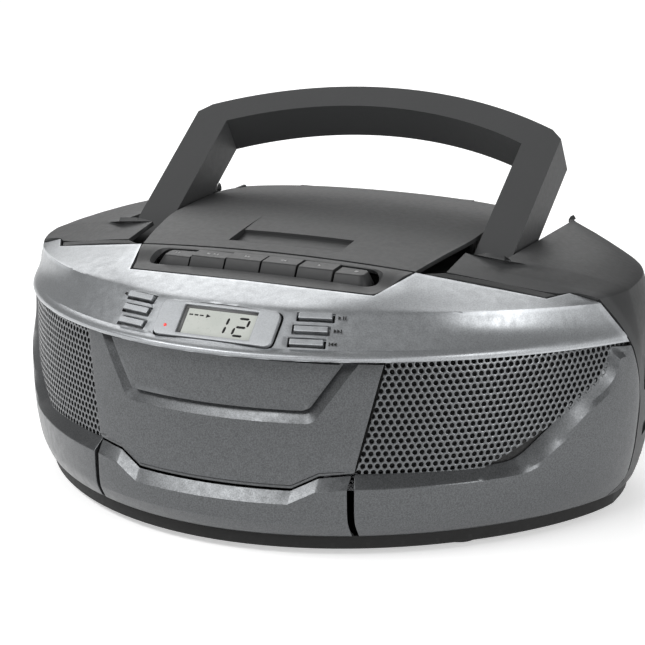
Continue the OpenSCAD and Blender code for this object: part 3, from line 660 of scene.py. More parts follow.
def bumper_center():
    half = [0, 38.8, 39.6, 50.7, 51.5, BUMPER_SIDE]
    right = spread(half, 2.5)
    xs = [-x for x in reversed(right[1:])] + right
    rows = []
    for level in range(30):
        row = []
        for x in xs:
            top = door_low_z(abs(x)) - 0.8
            low = top - LEDGE
            stops = [10, 10.4, 11, 11.8, 13, 15.5, 18, 20.5]
            stops += [mix(20.5, low - 0.3, k / 6) for k in range(1, 7)]
            stops += [low, low + 0.3] + [mix(low + 0.3, top - 0.3, k / 5) for k in range(1, 6)] + [top]
            if level >= len(stops):
                break
            z = stops[level]
            row.append(front(x, z, skirt_roll(z) + ledge_inset(z, low, top), bumper_depth))
        if row:
            rows.append(row)
    points, faces = grid(rows)
    piece = mesh_piece("bumper_center_shell", points, faces, "root", "dark_silver_paint",
                       DARK_SILVER, ["bumper_center"])
    bevel(thicken(crisp(piece, 9), 1.4), 0.3)


# Top edge of a side bumper: outline angle and height.
SIDE_TOP = [(24.6, 40.8), (40, 40.8), (50, 41.2), (58, 53), (64, 65), (69, 71.5), (72, 76), (73.6, 81.5),
            (74.5, 87.6), (76, 87.4), (81.3, 86.6)]


def bumper_side(mirror):
    start = angle_at(BUMPER_SIDE + GAP, 41)
    top = path([(start + 0.1, 40.8)] + SIDE_TOP[1:])
    stations = evenly(lambda f: wall(*top(f)), 64)
    high = [top(f) for f in stations]
    falls = [0, 0.01, 0.02, 0.035, 0.06] + [mix(0.06, 1, k / 26) for k in range(1, 27)]
    rows = []
    corner = seam(SKIRT_Z) - SEAM_HALF
    for v in falls:
        row = []
        for k, (t_high, z_high) in enumerate(high):
            s = k / (len(high) - 1)
            z_left = mix(SKIRT_Z, 40.8, v)
            left = (angle_at(BUMPER_SIDE + GAP, z_left), z_left)
            z_right = mix(SKIRT_Z, 86.6, v)
            right = (seam(z_right) - SEAM_HALF, z_right)
            low = (mix(start, corner, s), SKIRT_Z)
            blend = [
                mix(low[a], (t_high, z_high)[a], v) + mix(left[a], right[a], s)
                - mix(mix((start, SKIRT_Z)[a], (start, 40.8)[a], v),
                      mix((corner, SKIRT_Z)[a], high[-1][a], v), s)
                for a in (0, 1)
            ]
            height = z_high - SKIRT_Z
            edge = 1 - LEDGE / height
            fade = max(0.0, min(1.0, (78.5 - t_high) / 4))
            proud = bumper_depth(z_high) - front_depth(z_high) + 2.2
            lean = max(0.0, (v - edge) / (1 - edge)) * proud * fade
            row.append(wall(blend[0], blend[1], skirt_roll(blend[1]) + lean, bumper_depth))
        rows.append(row)
    points, faces = grid(rows)
    name = "bumper_left_shell" if mirror else "bumper_right_shell"
    piece = mesh_piece(name, points, faces, "root", "dark_silver_paint", DARK_SILVER,
                       ["bumper_left" if mirror else "bumper_right"], mirror)
    bevel(thicken(crisp(piece, 12), 2.2), 0.3)


PITCH = 3.35
HOLE_R = 1.22
GRILLE_INSET = 3


def grille(mirror):
    """Perforated sheet: staggered round holes, bent to the housing's outline."""
    middle_z = 66
    steps = [k * 0.5 for k in range(0, 170)]
    lengths = [0.0]
    for a, b in zip(steps, steps[1:]):
        lengths.append(lengths[-1] + (wall(b, middle_z, 3) - wall(a, middle_z, 3)).length)
    angle_of = smooth_table(list(zip(lengths, steps)))
    length_of = smooth_table(list(zip(steps, lengths)))

    def place(x, z):
        return length_of(angle_at(x, z, GRILLE_INSET)), z

    left = [place(door_side(z) - 0.2, z) for z in (38, 96)]
    right = [place(x, z) for x, z in ((126.5, 41), (150.5, 67), (158.3, 76), (160.2, 96))]
    bm = bmesh.new()
    row_step = PITCH * math.sqrt(3) / 2
    hexagon = [(PITCH / math.sqrt(3) * math.sin(math.pi * k / 3), PITCH / math.sqrt(3) * math.cos(math.pi * k / 3))
               for k in range(6)]
    ring = []
    for a, b in zip(hexagon, hexagon[1:] + hexagon[:1]):
        ring += [a, ((a[0] + b[0]) / 2, (a[1] + b[1]) / 2)]
    for r in range(int(58 / row_step)):
        z = 38.5 + r * row_step
        u = left[0][0] - 3 + (PITCH / 2 if r % 2 else 0)
        while u < right[-1][0] + 3:
            outer = [bm.verts.new((u + x, z + y, 0)) for x, y in ring]
            inner = [bm.verts.new((u + HOLE_R * x / math.hypot(x, y), z + HOLE_R * y / math.hypot(x, y), 0))
                     for x, y in ring]
            for k in range(12):
                bm.faces.new((outer[k], inner[k], inner[(k + 1) % 12], outer[(k + 1) % 12]))
            u += PITCH
    bmesh.ops.remove_doubles(bm, verts=bm.verts, dist=1e-3)
    sides = [(left[1], left[0])] + list(zip(right, right[1:])) + [((300, 39.5), (0, 39.5))[::-1], ((300, 94), (0, 94))]
    for a, b in sides:
        along = Vector((b[0] - a[0], b[1] - a[1], 0))
        normal = Vector((along.y, -along.x, 0))
        bmesh.ops.bisect_plane(bm, geom=bm.verts[:] + bm.edges[:] + bm.faces[:], plane_co=(a[0], a[1], 0),
                               plane_no=normal, clear_outer=True)
    for v in bm.verts:
        v.co = wall(angle_of(v.co.x), v.co.y, GRILLE_INSET)
    points = [v.co.copy() for v in bm.verts]
    bm.verts.index_update()
    faces = [tuple(v.index for v in f.verts) for f in bm.faces]
    bm.free()
    name = "grille_left_sheet" if mirror else "grille_right_sheet"
    piece = mesh_piece(name, points, faces, "root", "grille_metal", GRILLE,
                       ["grille_left" if mirror else "grille_right"], mirror)
    facing_out(piece)
    bevel(thicken(piece, 0.9), 0.12, 1, 60)


def grille_cloth(mirror):
    """Black cloth stretched behind the perforated sheet."""
    rows = []
    for r in range(11):
        row = []
        for k in range(25):
            z = mix(40.5, 91, r / 10)
            x = mix(door_side(z) - 2, mix(128, 159, min(1, (z - 40.5) / 34)), k / 24)
            row.append(front(x, z, GRILLE_INSET + 2.2))
        rows.append(row)
    points, faces = grid(rows)
    name = "grille_cloth_left" if mirror else "grille_cloth_right"
    piece = mesh_piece(name, points, faces, "root", "cone_paper", PAPER, (), mirror)
    thicken(facing_out(piece), 0.5)


def facing_out(piece):
    """Turns an open sheet's faces away from the housing's middle."""
    bm = bmesh.new()
    bm.from_mesh(piece.data)
    centre = Vector((0, 0.0, 0.06))
    total = sum((f.calc_center_median() - centre).dot(f.normal) * f.calc_area() for f in bm.faces)
    if total < 0:
        bmesh.ops.reverse_faces(bm, faces=bm.faces)
    bm.to_mesh(piece.data)
    bm.free()
    return piece


# ---------- cassette door ----------

BAND = 6.2
BAND_DEPTH = 3.0
PANEL_LOW_Z, PANEL_HIGH_Z = 70.4, 96
PANEL_LOW_W, PANEL_HIGH_W = 44.6, 61.5


def panel_outline(grow):
    """The raised panel's outline in x and z, moved outwards by grow."""
    lean = (PANEL_HIGH_W - PANEL_LOW_W) / (PANEL_HIGH_Z - PANEL_LOW_Z)
    side = grow * math.hypot(1, lean)
    low = PANEL_LOW_Z - grow
    low_w = PANEL_LOW_W + side - grow * lean
    high_w = PANEL_HIGH_W + side
    radius = 3 + grow * 0.6
    return rounded([(-high_w, PANEL_HIGH_Z), (-low_w, low), (low_w, low), (high_w, PANEL_HIGH_Z)],
                   [0, radius, radius, 0], 6)


def cassette_door():
    top_gap = 1.6
    low = [(x, door_low_z(abs(x))) for x in (-66, -51.1, -39.2, 39.2, 51.1, 66)]
    count = 40
    high = []
    for k in range(count + 1):
        x = mix(DOOR_HIGH_W, -DOOR_HIGH_W, k / count)
        high.append((x, lip_z(x) - top_gap))
    loop = low + high
    outer, inner = panel_outline(BAND), panel_outline(0.4)
    step_line = [(x, z + 1.3) for x, z in low]
    step_line[0], step_line[-1] = (-70, step_line[0][1]), (70, step_line[-1][1])
    groove_line = [(x, z + 0.5) for x, z in step_line]
    points, faces = flat_mesh(loop, [], [outer, inner, step_line, groove_line], 2.6)
    made = []
    for x, z in points:
        depth = 0.9
        if inside((x, z), outer):
            depth += BAND_DEPTH * min(1.0, distance((x, z), outer, closed=False) / (BAND - 0.4))
        edge = z - door_low_z(abs(x))
        if edge < 1.55:
            depth += 0.55
        made.append(front(x, z, depth))
    piece = mesh_piece("cassette_door_shell", made, faces, "cassette_door", "dark_silver_paint",
                       DARK_SILVER, ["cassette_door"])
    facing_out(piece)
    bevel(thicken(crisp(piece, 10), 1.8), 0.3, 2, 50)
    ears()


def ears():
    """Hinge ears behind the door's lower corners."""
    parts = []
    for side in (-1, 1):
        place = Matrix.Translation((side * 57 - 2, -96, 42)) @ Matrix.Rotation(math.radians(90), 4, "Y")
        loop = circle(4.2, 32)
        parts.append(prism(loop, 0, 4, place))
        parts.append(prism(box_loop(4, 8.6, 0.8, side * 57, -97.3), 42, 51.5))
    points, faces = joined(parts)
    piece = mesh_piece("cassette_door_ears", points, faces, "cassette_door", "dark_silver_paint", DARK_SILVER)
    bevel(piece, 0.3)


def door_panel():
    loop = panel_outline(0)
    trimmed = [(x, z) for x, z in loop if z < 92]
    top = []
    for k in range(25):
        x = mix(1, -1, k / 24)
        z = lip_z(58.5 * x) - 2.2
        top.append((x * mix(PANEL_LOW_W, PANEL_HIGH_W, (z - PANEL_LOW_Z) / (PANEL_HIGH_Z - PANEL_LOW_Z)), z))
    points, faces = flat_mesh(trimmed + top, [], [], 2.6)
    made = [front(x, z, 0.35) for x, z in points]
    piece = mesh_piece("door_panel_shell", made, faces, "cassette_door", "silver_paint", DARK_SILVER,
                       ["door_panel"])
    facing_out(piece)
    bevel(thicken(piece, 2.2), 0.35, 3, 50)


# ---------- fascia ----------

def rail_point(u, inset, z_middle, z_end, end_angle):
    """A point on one of the fascia's lengthwise lines, which end on the seam with the cabinet."""
    def place(v):
        x, y = outline(v * end_angle, HALF_W - 3 - inset * (1 - abs(v)) * 0.2 - inset * 0.1,
                       FRONT_D - 0.5 - inset, BACK_D)
        return Vector((x, y, mix(z_middle, z_end, v * v)))

    end = math.copysign(1, u)
    miss = wall(end * (seam(z_end) - SEAM_HALF - 0.1), z_end) - place(end)
    return place(u) + miss * abs(u) ** 5


RAILS = [(1.5, 95, 88.5, 80), (0, 97, 90.5, 79.2), (5, 99.5, 94.5, 76.6), (21, 114, 109, 69.4)]
REAR_X = [(0, 0), (0.4, 63.5), (0.44, 72.6), (0.84, 130.6), (0.88, 137.5), (1, 150.8)]
REAR_Y = [(0, -75), (0.4, -71.5), (0.44, -43.5), (0.84, -25), (0.88, -13), (1, -8.3)]
REAR_Z = [(0, 119.5), (0.4, 118), (0.44, 123.6), (0.84, 113), (0.88, 113.6), (1, 109.4)]
FACE_TILT, FACE_YAW = 44, 15.8
LCD_W, LCD_H, LCD_Y, LCD_Z = 61, 19.4, -105.4, 106.8
BUTTON_W, BUTTON_H, BUTTON_X = 15.4, 3.0, 44.6
BUTTON_ROWS = [(-93.8, 111.4), (-98.8, 106.5), (-103.8, 101.6)]


def rear_point(u):
    side = math.copysign(1, u)
    x, y, z = (table(rows)(abs(u)) for rows in (REAR_X, REAR_Y, REAR_Z))
    return Vector((side * x, y, z))


def thin_plate(controls):
    """A height over x and y that bends as little as it can through its control points."""
    import numpy
    pts = numpy.array([c[:2] for c in controls], float)
    far = numpy.linalg.norm(pts[:, None] - pts[None], axis=2)
    kernel = numpy.where(far > 0, far ** 2 * numpy.log(numpy.maximum(far, 1e-9)), 0)
    count = len(pts)
    flat = numpy.hstack([numpy.ones((count, 1)), pts])
    system = numpy.block([[kernel + numpy.eye(count) * 4, flat], [flat.T, numpy.zeros((3, 3))]])
    right = numpy.concatenate([[c[2] for c in controls], numpy.zeros(3)])
    weights = numpy.linalg.solve(system, right)

    def height(x, y):
        d = numpy.hypot(pts[:, 0] - x, pts[:, 1] - y)
        k = numpy.where(d > 0, d ** 2 * numpy.log(numpy.maximum(d, 1e-9)), 0)
        return float(k @ weights[:count] + weights[count] + weights[count + 1] * x + weights[count + 2] * y)
    return height


def fascia():
    stops = spread([0, 0.4], 0.02) + spread([0.4, 0.44], 0.005)[1:] + spread([0.44, 0.84], 0.016)[1:]
    stops += spread([0.84, 0.88], 0.01)[1:] + spread([0.88, 1], 0.015)[1:]
    us = [-u for u in reversed(stops[1:])] + stops
    controls = []
    for u in (-1, -0.88, -0.84, -0.7, -0.55, -0.44, -0.4, -0.2, 0, 0.2, 0.4, 0.44, 0.55, 0.7, 0.84, 0.88, 1):
        controls.append(rear_point(u))
        controls.append(rail_point(u, *RAILS[3]))
    height = thin_plate(controls)
    rows = [[rail_point(u, *RAILS[0]) for u in us]]
    for f in (0.3, 0.6, 0.85):
        rows.append([lip_roll(u, f) for u in us])
    rows.append([rail_point(u, *RAILS[1]) for u in us])
    for f in (0.12, 0.3, 0.5, 0.7, 0.88, 1):
        rows.append([lip_roll(u, 1 + f) for u in us])
    for f in (0.08, 0.18, 0.32, 0.46, 0.6, 0.74, 0.86, 0.95):
        rows.append([face_point(u, f) for u in us])
    for f in (0, 0.02, 0.06, 0.15, 0.3, 0.45, 0.6, 0.75, 0.88, 0.96, 1):
        row = []
        for u in us:
            near, far = rail_point(u, *RAILS[3]), rear_point(u)
            p = near.lerp(far, f)
            row.append(Vector((p.x, p.y, mix(p.z, height(p.x, p.y), min(1, 4 * f * (1 - f))))))
        rows.append(row)
    soften_crest(rows, us)
    points, faces = grid(rows)
    piece = mesh_piece("fascia_shell", points, faces, "root", "silver_paint", SILVER, ["fascia"])
    thicken(crisp(piece, 24), 2.2)
    face = moved(0, LCD_Y, LCD_Z, 0, FACE_TILT)
    cutters = [prism(box_loop(LCD_W + 0.9, LCD_H + 0.9, 4.4), -12, 12, face)]
    for side in (-1, 1):
        for y, z in BUTTON_ROWS:
            place = moved(side * BUTTON_X, y, z, side * FACE_YAW, FACE_TILT)
            cutters.append(prism(box_loop(BUTTON_W + 2.2, BUTTON_H + 2.2, 0.6, steps=3), -10, 10, place))
    cut(piece, cutters)
    bevel(piece, 0.25, 2, 50)


def soften_crest(rows, us):
    """Rounds the crest over in the middle and leaves it crisp towards the ends."""
    fade = table([(0, 1), (0.3, 1), (0.5, 0.1), (0.6, 0)])
    first, last = 16, 23
    for _ in range(8):
        before = [list(row) for row in rows]
        for r in range(first, last):
            for k, u in enumerate(us):
                middle = (before[r - 1][k] + before[r + 1][k]) / 2
                rows[r][k] = before[r][k].lerp(middle, 0.5 * fade(abs(u)))


def lip_roll(u, f):
    """The rounded lower lip between the first three rails."""
    a, b, c = (rail_point(u, *RAILS[k]) for k in range(3))
    if f <= 1:
        return a.lerp(b, f) + Vector((0, -1, 0)) * 0.35 * math.sin(math.pi * f) * (1 - u * u)
    g = f - 1
    return b * (1 - g) ** 2 + (b + Vector((0, 0, 1.6))) * 2 * g * (1 - g) + c * g * g


def face_point(u, f):
    """The control face below the crest, flat in the middle and scooped towards the ends."""
    a, b = rail_point(u, *RAILS[2]), rail_point(u, *RAILS[3])
    scoop = smooth_table([(0, 0), (0.42, 0), (0.62, 1.9), (0.85, 1.4), (1, 0)])(abs(u))
    p = a.lerp(b, f)
    out = Vector((p.x, p.y - WIDE_Y, 0)).normalized() * 0.7 + Vector((0, 0, 0.7))
    return p - out * scoop * math.sin(math.pi * f) * 0.9


# ---------- display and CD buttons ----------

WINDOW_W, WINDOW_H, WINDOW_X = 37.4, 15.2, 0.4
WINDOW_DEPTH = 1.1


def lcd():
    face = moved(0, LCD_Y, LCD_Z, 0, FACE_TILT)
    gasket = prism(box_loop(LCD_W + 0.7, LCD_H + 0.7, 4.3), -4.6, -3.2, face)
    mesh_piece("lcd_gasket", *gasket, "root", "black_plastic", BLACK)
    window = box_loop(WINDOW_W, WINDOW_H, 0.5, WINDOW_X, 0.2)
    points, faces = flat_mesh(box_loop(LCD_W - 0.7, LCD_H - 0.7, 4), [window], [], 3)
    made = [face @ Vector((x, y, 0.15)) for x, y in points]
    piece = mesh_piece("lcd_frame", made, faces, "root", "silver_paint", BEZEL, ["lcd_bezel"])
    bevel(thicken(piece, 2.2), 0.35, 3, 50)
    level = 0.15 - WINDOW_DEPTH
    panel = prism(box_loop(WINDOW_W + 1.4, WINDOW_H + 1.4, 0.8, WINDOW_X, 0.2), -2.6, level, face)
    piece = mesh_piece("lcd_panel", *panel, "root", "display_glass", GLASS, ["lcd_glass"])
    bevel(piece, 0.15)
    marks = [prism(loop, level - 0.05, level + 0.06, face) for loop in lcd_marks()]
    mesh_piece("lcd_segments", *joined(marks), "root", "black_plastic", PRINT)
    # Painted shadow: two grey strips along the window's left side and top stand in for the bezel's shadow on the
    # display.
    left, top = WINDOW_X - WINDOW_W / 2, 0.2 + WINDOW_H / 2
    side = prism(box_loop(2.1, WINDOW_H, 0, left + 1.05, 0.2), level - 0.05, level + 0.03, face)
    over = prism(box_loop(WINDOW_W, 1.4, 0, WINDOW_X, top - 0.7), level - 0.05, level + 0.035, face)
    mesh_piece("lcd_shadow_strips", *joined([side, over]), "root", "black_plastic", SHADOW_GREY)
    eye = lathe([(0.01, 0.55), (0.4, 0.5), (0.7, 0.35), (0.8, 0.1), (0.8, -0.6)], 24,
                face @ Matrix.Translation((LAMP_X, LAMP_Y, 0.1)))
    mesh_piece("power_lamp", *eye, "root", "display_glass", RED)


LAMP_X, LAMP_Y = -24.5, -4.5
SEGMENTS = {"1": "bc", "2": "abged"}
FIGURE_W, FIGURE_H, FIGURE_LOW, SEGMENT_T = 5.8, 9.2, -5.3, 1.15


def lcd_marks():
    """Seven-segment figures, a play arrow and a short row of indicator bars."""
    loops = []
    for figure, x0 in (("1", -1.2), ("2", 9.2)):
        for name in SEGMENTS[figure]:
            across = name in "agd"
            level = {"a": 1, "g": 0.5, "d": 0, "b": 0.75, "c": 0.25, "f": 0.75, "e": 0.25}[name] * FIGURE_H
            x = x0 + (FIGURE_W / 2 if across else (FIGURE_W if name in "bc" else 0))
            half = (FIGURE_W if across else FIGURE_H / 2) / 2 - 0.45
            tip = SEGMENT_T / 2
            bar = [(-half, 0), (-half + tip, -tip), (half - tip, -tip), (half, 0), (half - tip, tip), (-half + tip, tip)]
            bar = bar if across else [(-b, a) for a, b in bar]
            loops.append([(x + px + 0.09 * (level + py), FIGURE_LOW + level + py) for px, py in bar])
    loops.append([(-6.4, 2.2), (-4.2, 3.2), (-6.4, 4.2)])
    for k in range(3):
        loops.append(box_loop(1.9, 0.7, 0, -14.2 + 2.7 * k, 3.2))
    return loops


def cd_button(k):
    y, z = BUTTON_ROWS[k % 3]
    side = -1 if k < 3 else 1
    place = moved(side * BUTTON_X, y, z, side * FACE_YAW, FACE_TILT)
    loop = box_loop(BUTTON_W, BUTTON_H, 0.45, steps=3)
    bar = prism(loop, -2.6, 1.4, place)
    name = f"button_{k + 1}"
    piece = mesh_piece(f"{name}_bar", *bar, name, "silver_paint", SILVER, [name])
    bevel(piece, 0.45, 3)
    tray = prism(box_loop(BUTTON_W + 3, BUTTON_H + 3, 0.7, steps=3), -5.6, -4.2, place)
    mesh_piece(f"button_{k + 1}_tray", *tray, "root", "black_plastic", BLACK)
    marks = button_marks(k)
    if marks:
        flat = [prism(loop, -0.05, 0.10, place) for loop in marks]
        mesh_piece(f"button_{k + 1}_mark", *joined(flat), "root", "black_plastic", PRINT)


def arrow(x, size, way=1):
    return [(x, -size), (x + way * size * 1.5, 0), (x, size)][::way]


def button_marks(k):
    """Transport symbols beside the buttons on the listener's right."""
    x = BUTTON_W / 2 + 2.6
    if k == 3:
        return [arrow(x, 0.9), box_loop(0.5, 1.8, 0, x + 2.4), box_loop(0.5, 1.8, 0, x + 3.4)]
    if k == 4:
        return [arrow(x, 0.9), arrow(x + 1.5, 0.9), box_loop(0.5, 1.8, 0, x + 3.4)]
    if k == 5:
        return [box_loop(0.5, 1.8, 0, x), arrow(x + 1.8, 0.9, -1), arrow(x + 3.3, 0.9, -1)]
    if k == 0:
        return [box_loop(1.3, 1.3, 0, -BUTTON_W / 2 - 2.6)]
    return []


# ---------- cassette keys and their panel ----------

KEY_SLOT_Y, KEY_SLOT_Z, KEY_TILT, KEY_PITCH, KEYS = -55.3, 121.2, 4, 18.8, 6
KEY_W, KEY_D, KEY_SAG = 17.9, 13, 1.7
SLOT_HALF = KEYS * KEY_PITCH / 2 + 1.9
BOWL = 1.8
panel_level = smooth_table([(0, 119.4), (0.39, 120.6), (0.85, 125.4), (1, 126)])
panel_fall = smooth_table([(0, 1.4), (0.39, 1.6), (0.85, 2), (1, 2.2)])


def panel_z(x, y):
    """Height of the key panel's surface."""
    f = max(0.0, min(1.0, (y + 74) / 29.8))
    c = x / mix(62.6, 71.6, f)
    return panel_level(f) - panel_fall(f) * c * c


def key_panel():
    front_edge = []
    for k in range(17):
        c = mix(-1, 1, k / 16)
        front_edge.append((62.6 * c, -73.6 + 3.2 * c * c))
    loop = rounded(front_edge + [(71.6, -44.2), (-71.6, -44.2)], [3] + [0] * 15 + [3, 0.6, 0.6], 4)
    slot = box_loop(2 * SLOT_HALF, KEY_D + 0.9, (KEY_D + 0.9) / 2 - 0.05, 0, KEY_SLOT_Y, 12)
    rim = box_loop(2 * (SLOT_HALF + BOWL), KEY_D + 1.9, (KEY_D + 1.9) / 2 - 0.05, 0, KEY_SLOT_Y, 12)
    points, faces = flat_mesh(loop, [slot], [rim + rim[:1]], 2.2)
    made = []
    for x, y in points:
        drop = 0.0
        if inside((x, y), rim):
            f = min(1.0, distance((x, y), rim) / BOWL)
            drop = 2.4 * f * f
        made.append(Vector((x, y, panel_z(x, y) - drop)))
    piece = mesh_piece("key_panel_plate", made, faces, "root", "charcoal_plastic", CHARCOAL, ["key_panel"])
    facing_up(piece)
    bevel(thicken(crisp(piece, 24), 2.2), 0.3, 3, 50)
    tray_loop = box_loop(2 * SLOT_HALF + 2, KEY_D + 2.2, (KEY_D + 2.2) / 2 - 0.05, 0, 0, 10)
    place = moved(0, KEY_SLOT_Y, KEY_SLOT_Z, 0, KEY_TILT)
    holes = [box_loop(4.6, 3.6, 0.4, (i - 2.5) * KEY_PITCH, 0, 3) for i in range(KEYS)]
    points, faces = flat_mesh(tray_loop, holes, [], 3)
    made = [place @ Vector((x, y, -10.6)) for x, y in points]
    piece = mesh_piece("key_tray", made, faces, "root", "black_plastic", BLACK)
    thicken(facing_up(piece), 1.2)


def facing_up(piece):
    bm = bmesh.new()
    bm.from_mesh(piece.data)
    if sum(f.normal.z * f.calc_area() for f in bm.faces) < 0:
        bmesh.ops.reverse_faces(bm, faces=bm.faces)
    bm.to_mesh(piece.data)
    bm.free()
    return piece


KEY_TOP, KEY_FLOOR = 4.2, -5.4
KEY_FACE = [(0, -1.4), (3.4, 3.55), (3.8, 3.95), (4.4, KEY_TOP)]
KEY_ROUND, KEY_CORNER = 6.3, 0.3


def key_outline(i, inset):
    """A key seen from above, drawn in from its front; the two end keys are round on their outer side."""
    w, d = KEY_W / 2, KEY_D / 2
    left = inset if i == 0 else 0
    right = inset if i == KEYS - 1 else 0
    corners = [(-w + left, -d + inset), (w - right, -d + inset),
               (w - right, d - right * 0.3), (-w + left, d - left * 0.3)]
    r = max(1.2, KEY_ROUND - inset)
    left_r = r if i == 0 else KEY_CORNER
    right_r = r if i == KEYS - 1 else KEY_CORNER
    radii = [left_r, right_r, right_r, left_r]
    return rounded(corners, radii, 8)


def cassette_key(i):
    drop = KEY_SAG * (2 * i / (KEYS - 1) - 1) ** 2
    place = moved((i - (KEYS - 1) / 2) * KEY_PITCH, KEY_SLOT_Y, KEY_SLOT_Z - drop, 0, KEY_TILT)
    rows = [[(x, y, KEY_FLOOR) for x, y in key_outline(i, 0)]]
    for inset, z in KEY_FACE:
        rows.append([(x, y, z) for x, y in key_outline(i, inset)])
    points, faces = grid(rows, closed=True)
    count = len(rows[0])
    faces.append(tuple(reversed(range(count))))
    faces.append(tuple(range(len(points) - count, len(points))))
    stem = prism(box_loop(4, 3, 0.3, steps=2), -16, KEY_FLOOR + 0.4)
    points, faces = joined([(points, faces), stem])
    points = [place @ Vector(p) for p in points]
    piece = mesh_piece(f"key_{i + 1}_cap", points, faces, f"key_{i + 1}", "charcoal_plastic", DARK_KEY,
                       [f"key_{i + 1}"])
    bevel(piece, 0.3, 3, 42)
    print_place = place @ Matrix.Translation((0, 2, 0))
    marks = [prism(m, KEY_TOP - 0.1, KEY_TOP + 0.12, print_place) for m in key_marks(i)]
    mesh_piece(f"key_{i + 1}_mark", *joined(marks), f"key_{i + 1}", "charcoal_plastic", PALE_PRINT)


def key_marks(i):
    """Raised symbols: pause, stop and eject, fast forward, rewind, play and record."""
    s = 0.95
    if i == 0:
        return [box_loop(0.6, 1.9, 0, -0.7), box_loop(0.6, 1.9, 0, 0.7)]
    if i == 1:
        return [box_loop(1.5, 1.5, 0, -2), arrow(0.6, s), box_loop(0.5, 1.9, 0, 2.8)]
    if i == 2:
        return [arrow(-1.4, s), arrow(0.1, s)]
    if i == 3:
        return [arrow(0, s, -1), arrow(1.5, s, -1)]
    if i == 4:
        return [arrow(-0.7, s)]
    return [circle(0.95, 16)]


# ---------- top strips, lid and disc deck ----------

def top_strips():
    """Dark filler strips between the fascia's rear edge and the cabinet."""
    for side in (1, -1):
        rows = []
        for r in range(7):
            v = r / 6
            row = []
            for k in range(25):
                f = k / 24
                crown = 0.5 * math.sin(math.pi * f)
                near = Vector((mix(76, 129.6, f), mix(-41.6, -24.2, f), mix(123, 113.2, f) + crown))
                far = Vector((mix(84, 133, f), mix(-36, -18, f), mix(122.9, 113.4, f) + crown))
                row.append(near.lerp(far, v))
            rows.append(row)
        points, faces = grid(rows)
        name = "top_strip_right" if side > 0 else "top_strip_left"
        piece = mesh_piece(name, points, faces, "root", "charcoal_plastic", CHARCOAL,
                           ["top_strips"] if side > 0 else (), mirror=side < 0)
        facing_up(piece)
        bevel(thicken(piece, 2.2), 0.35, 2, 50)


LID_FRONT_Y, LID_BACK_Y, LID_W = -42.6, 94.5, 81
lid_side = smooth_table([(-42.6, 72), (-20, 76.6), (11, 81), (30, 81), (94.5, 81)])
lid_rise = smooth_table([(-42.6, 126.3), (-20, 129.6), (10, 132.4), (50, 133.6), (94.5, 130.8)])
PAD_W, PAD_FRONT, PAD_LIP, PAD_END = 30, -33, -16, 9
scoop_depth = smooth_table([(PAD_FRONT, 0), (-29.5, 1.3), (-26, 3), (-22, 3.1), (-18, 2.5), (PAD_LIP, 2.1)])


def lid_z(x, y):
    return lid_rise(y) - 3 * (x / LID_W) ** 2


def pad_drop(x, y):
    """Finger pad: a scoop that deepens to a step, then a tongue that rises back to the lid."""
    if abs(x) > PAD_W or not PAD_FRONT < y < PAD_END:
        return 0.0
    if y < PAD_LIP:
        return scoop_depth(y)
    f = (y - PAD_LIP) / (PAD_END - PAD_LIP)
    return 0.55 * (1 - f) ** 1.5


def cd_lid():
    ys = spread([LID_FRONT_Y, -41.8, PAD_FRONT, PAD_LIP - 0.5], 2.2)
    ys += [PAD_LIP - 0.35, PAD_LIP - 0.02, PAD_LIP + 0.05]
    ys += spread([PAD_LIP + 0.5, PAD_END, 11, 60, LID_BACK_Y], 3.0)
    pad = [PAD_W - 0.02, PAD_W + 0.02]
    half = spread([0, PAD_W - 0.3], 2.5) + pad + spread([PAD_W + 0.4, 72], 2.6)
    shares = [x / 72 for x in half]
    shares = [-s for s in reversed(shares[1:])] + shares
    rows = []
    for y in ys:
        row = []
        wide = lid_side(y)
        for s in shares:
            # The pad's edges run straight back, so the inner columns keep their own x.
            keep = min(1.0, max(0.0, (abs(s) * 72 - PAD_W - 1) / (72 - PAD_W - 1)))
            x = math.copysign(mix(abs(s) * 72, abs(s) * wide, keep), s)
            bow = 7.5 * (x / LID_W) ** 4 * max(0, (y - 60) / (LID_BACK_Y - 60)) if y > 60 else 0
            row.append(Vector((x, y - bow, lid_z(x, y) - pad_drop(x, y))))
        rows.append(row)
    points, faces = grid(rows)
    piece = mesh_piece("cd_lid_shell", points, faces, "cd_lid", "charcoal_plastic", CHARCOAL, ["cd_lid"])
    facing_up(piece)
    bevel(thicken(crisp(piece, 25), 2.2), 0.45, 3, 55)
    lid_underside()


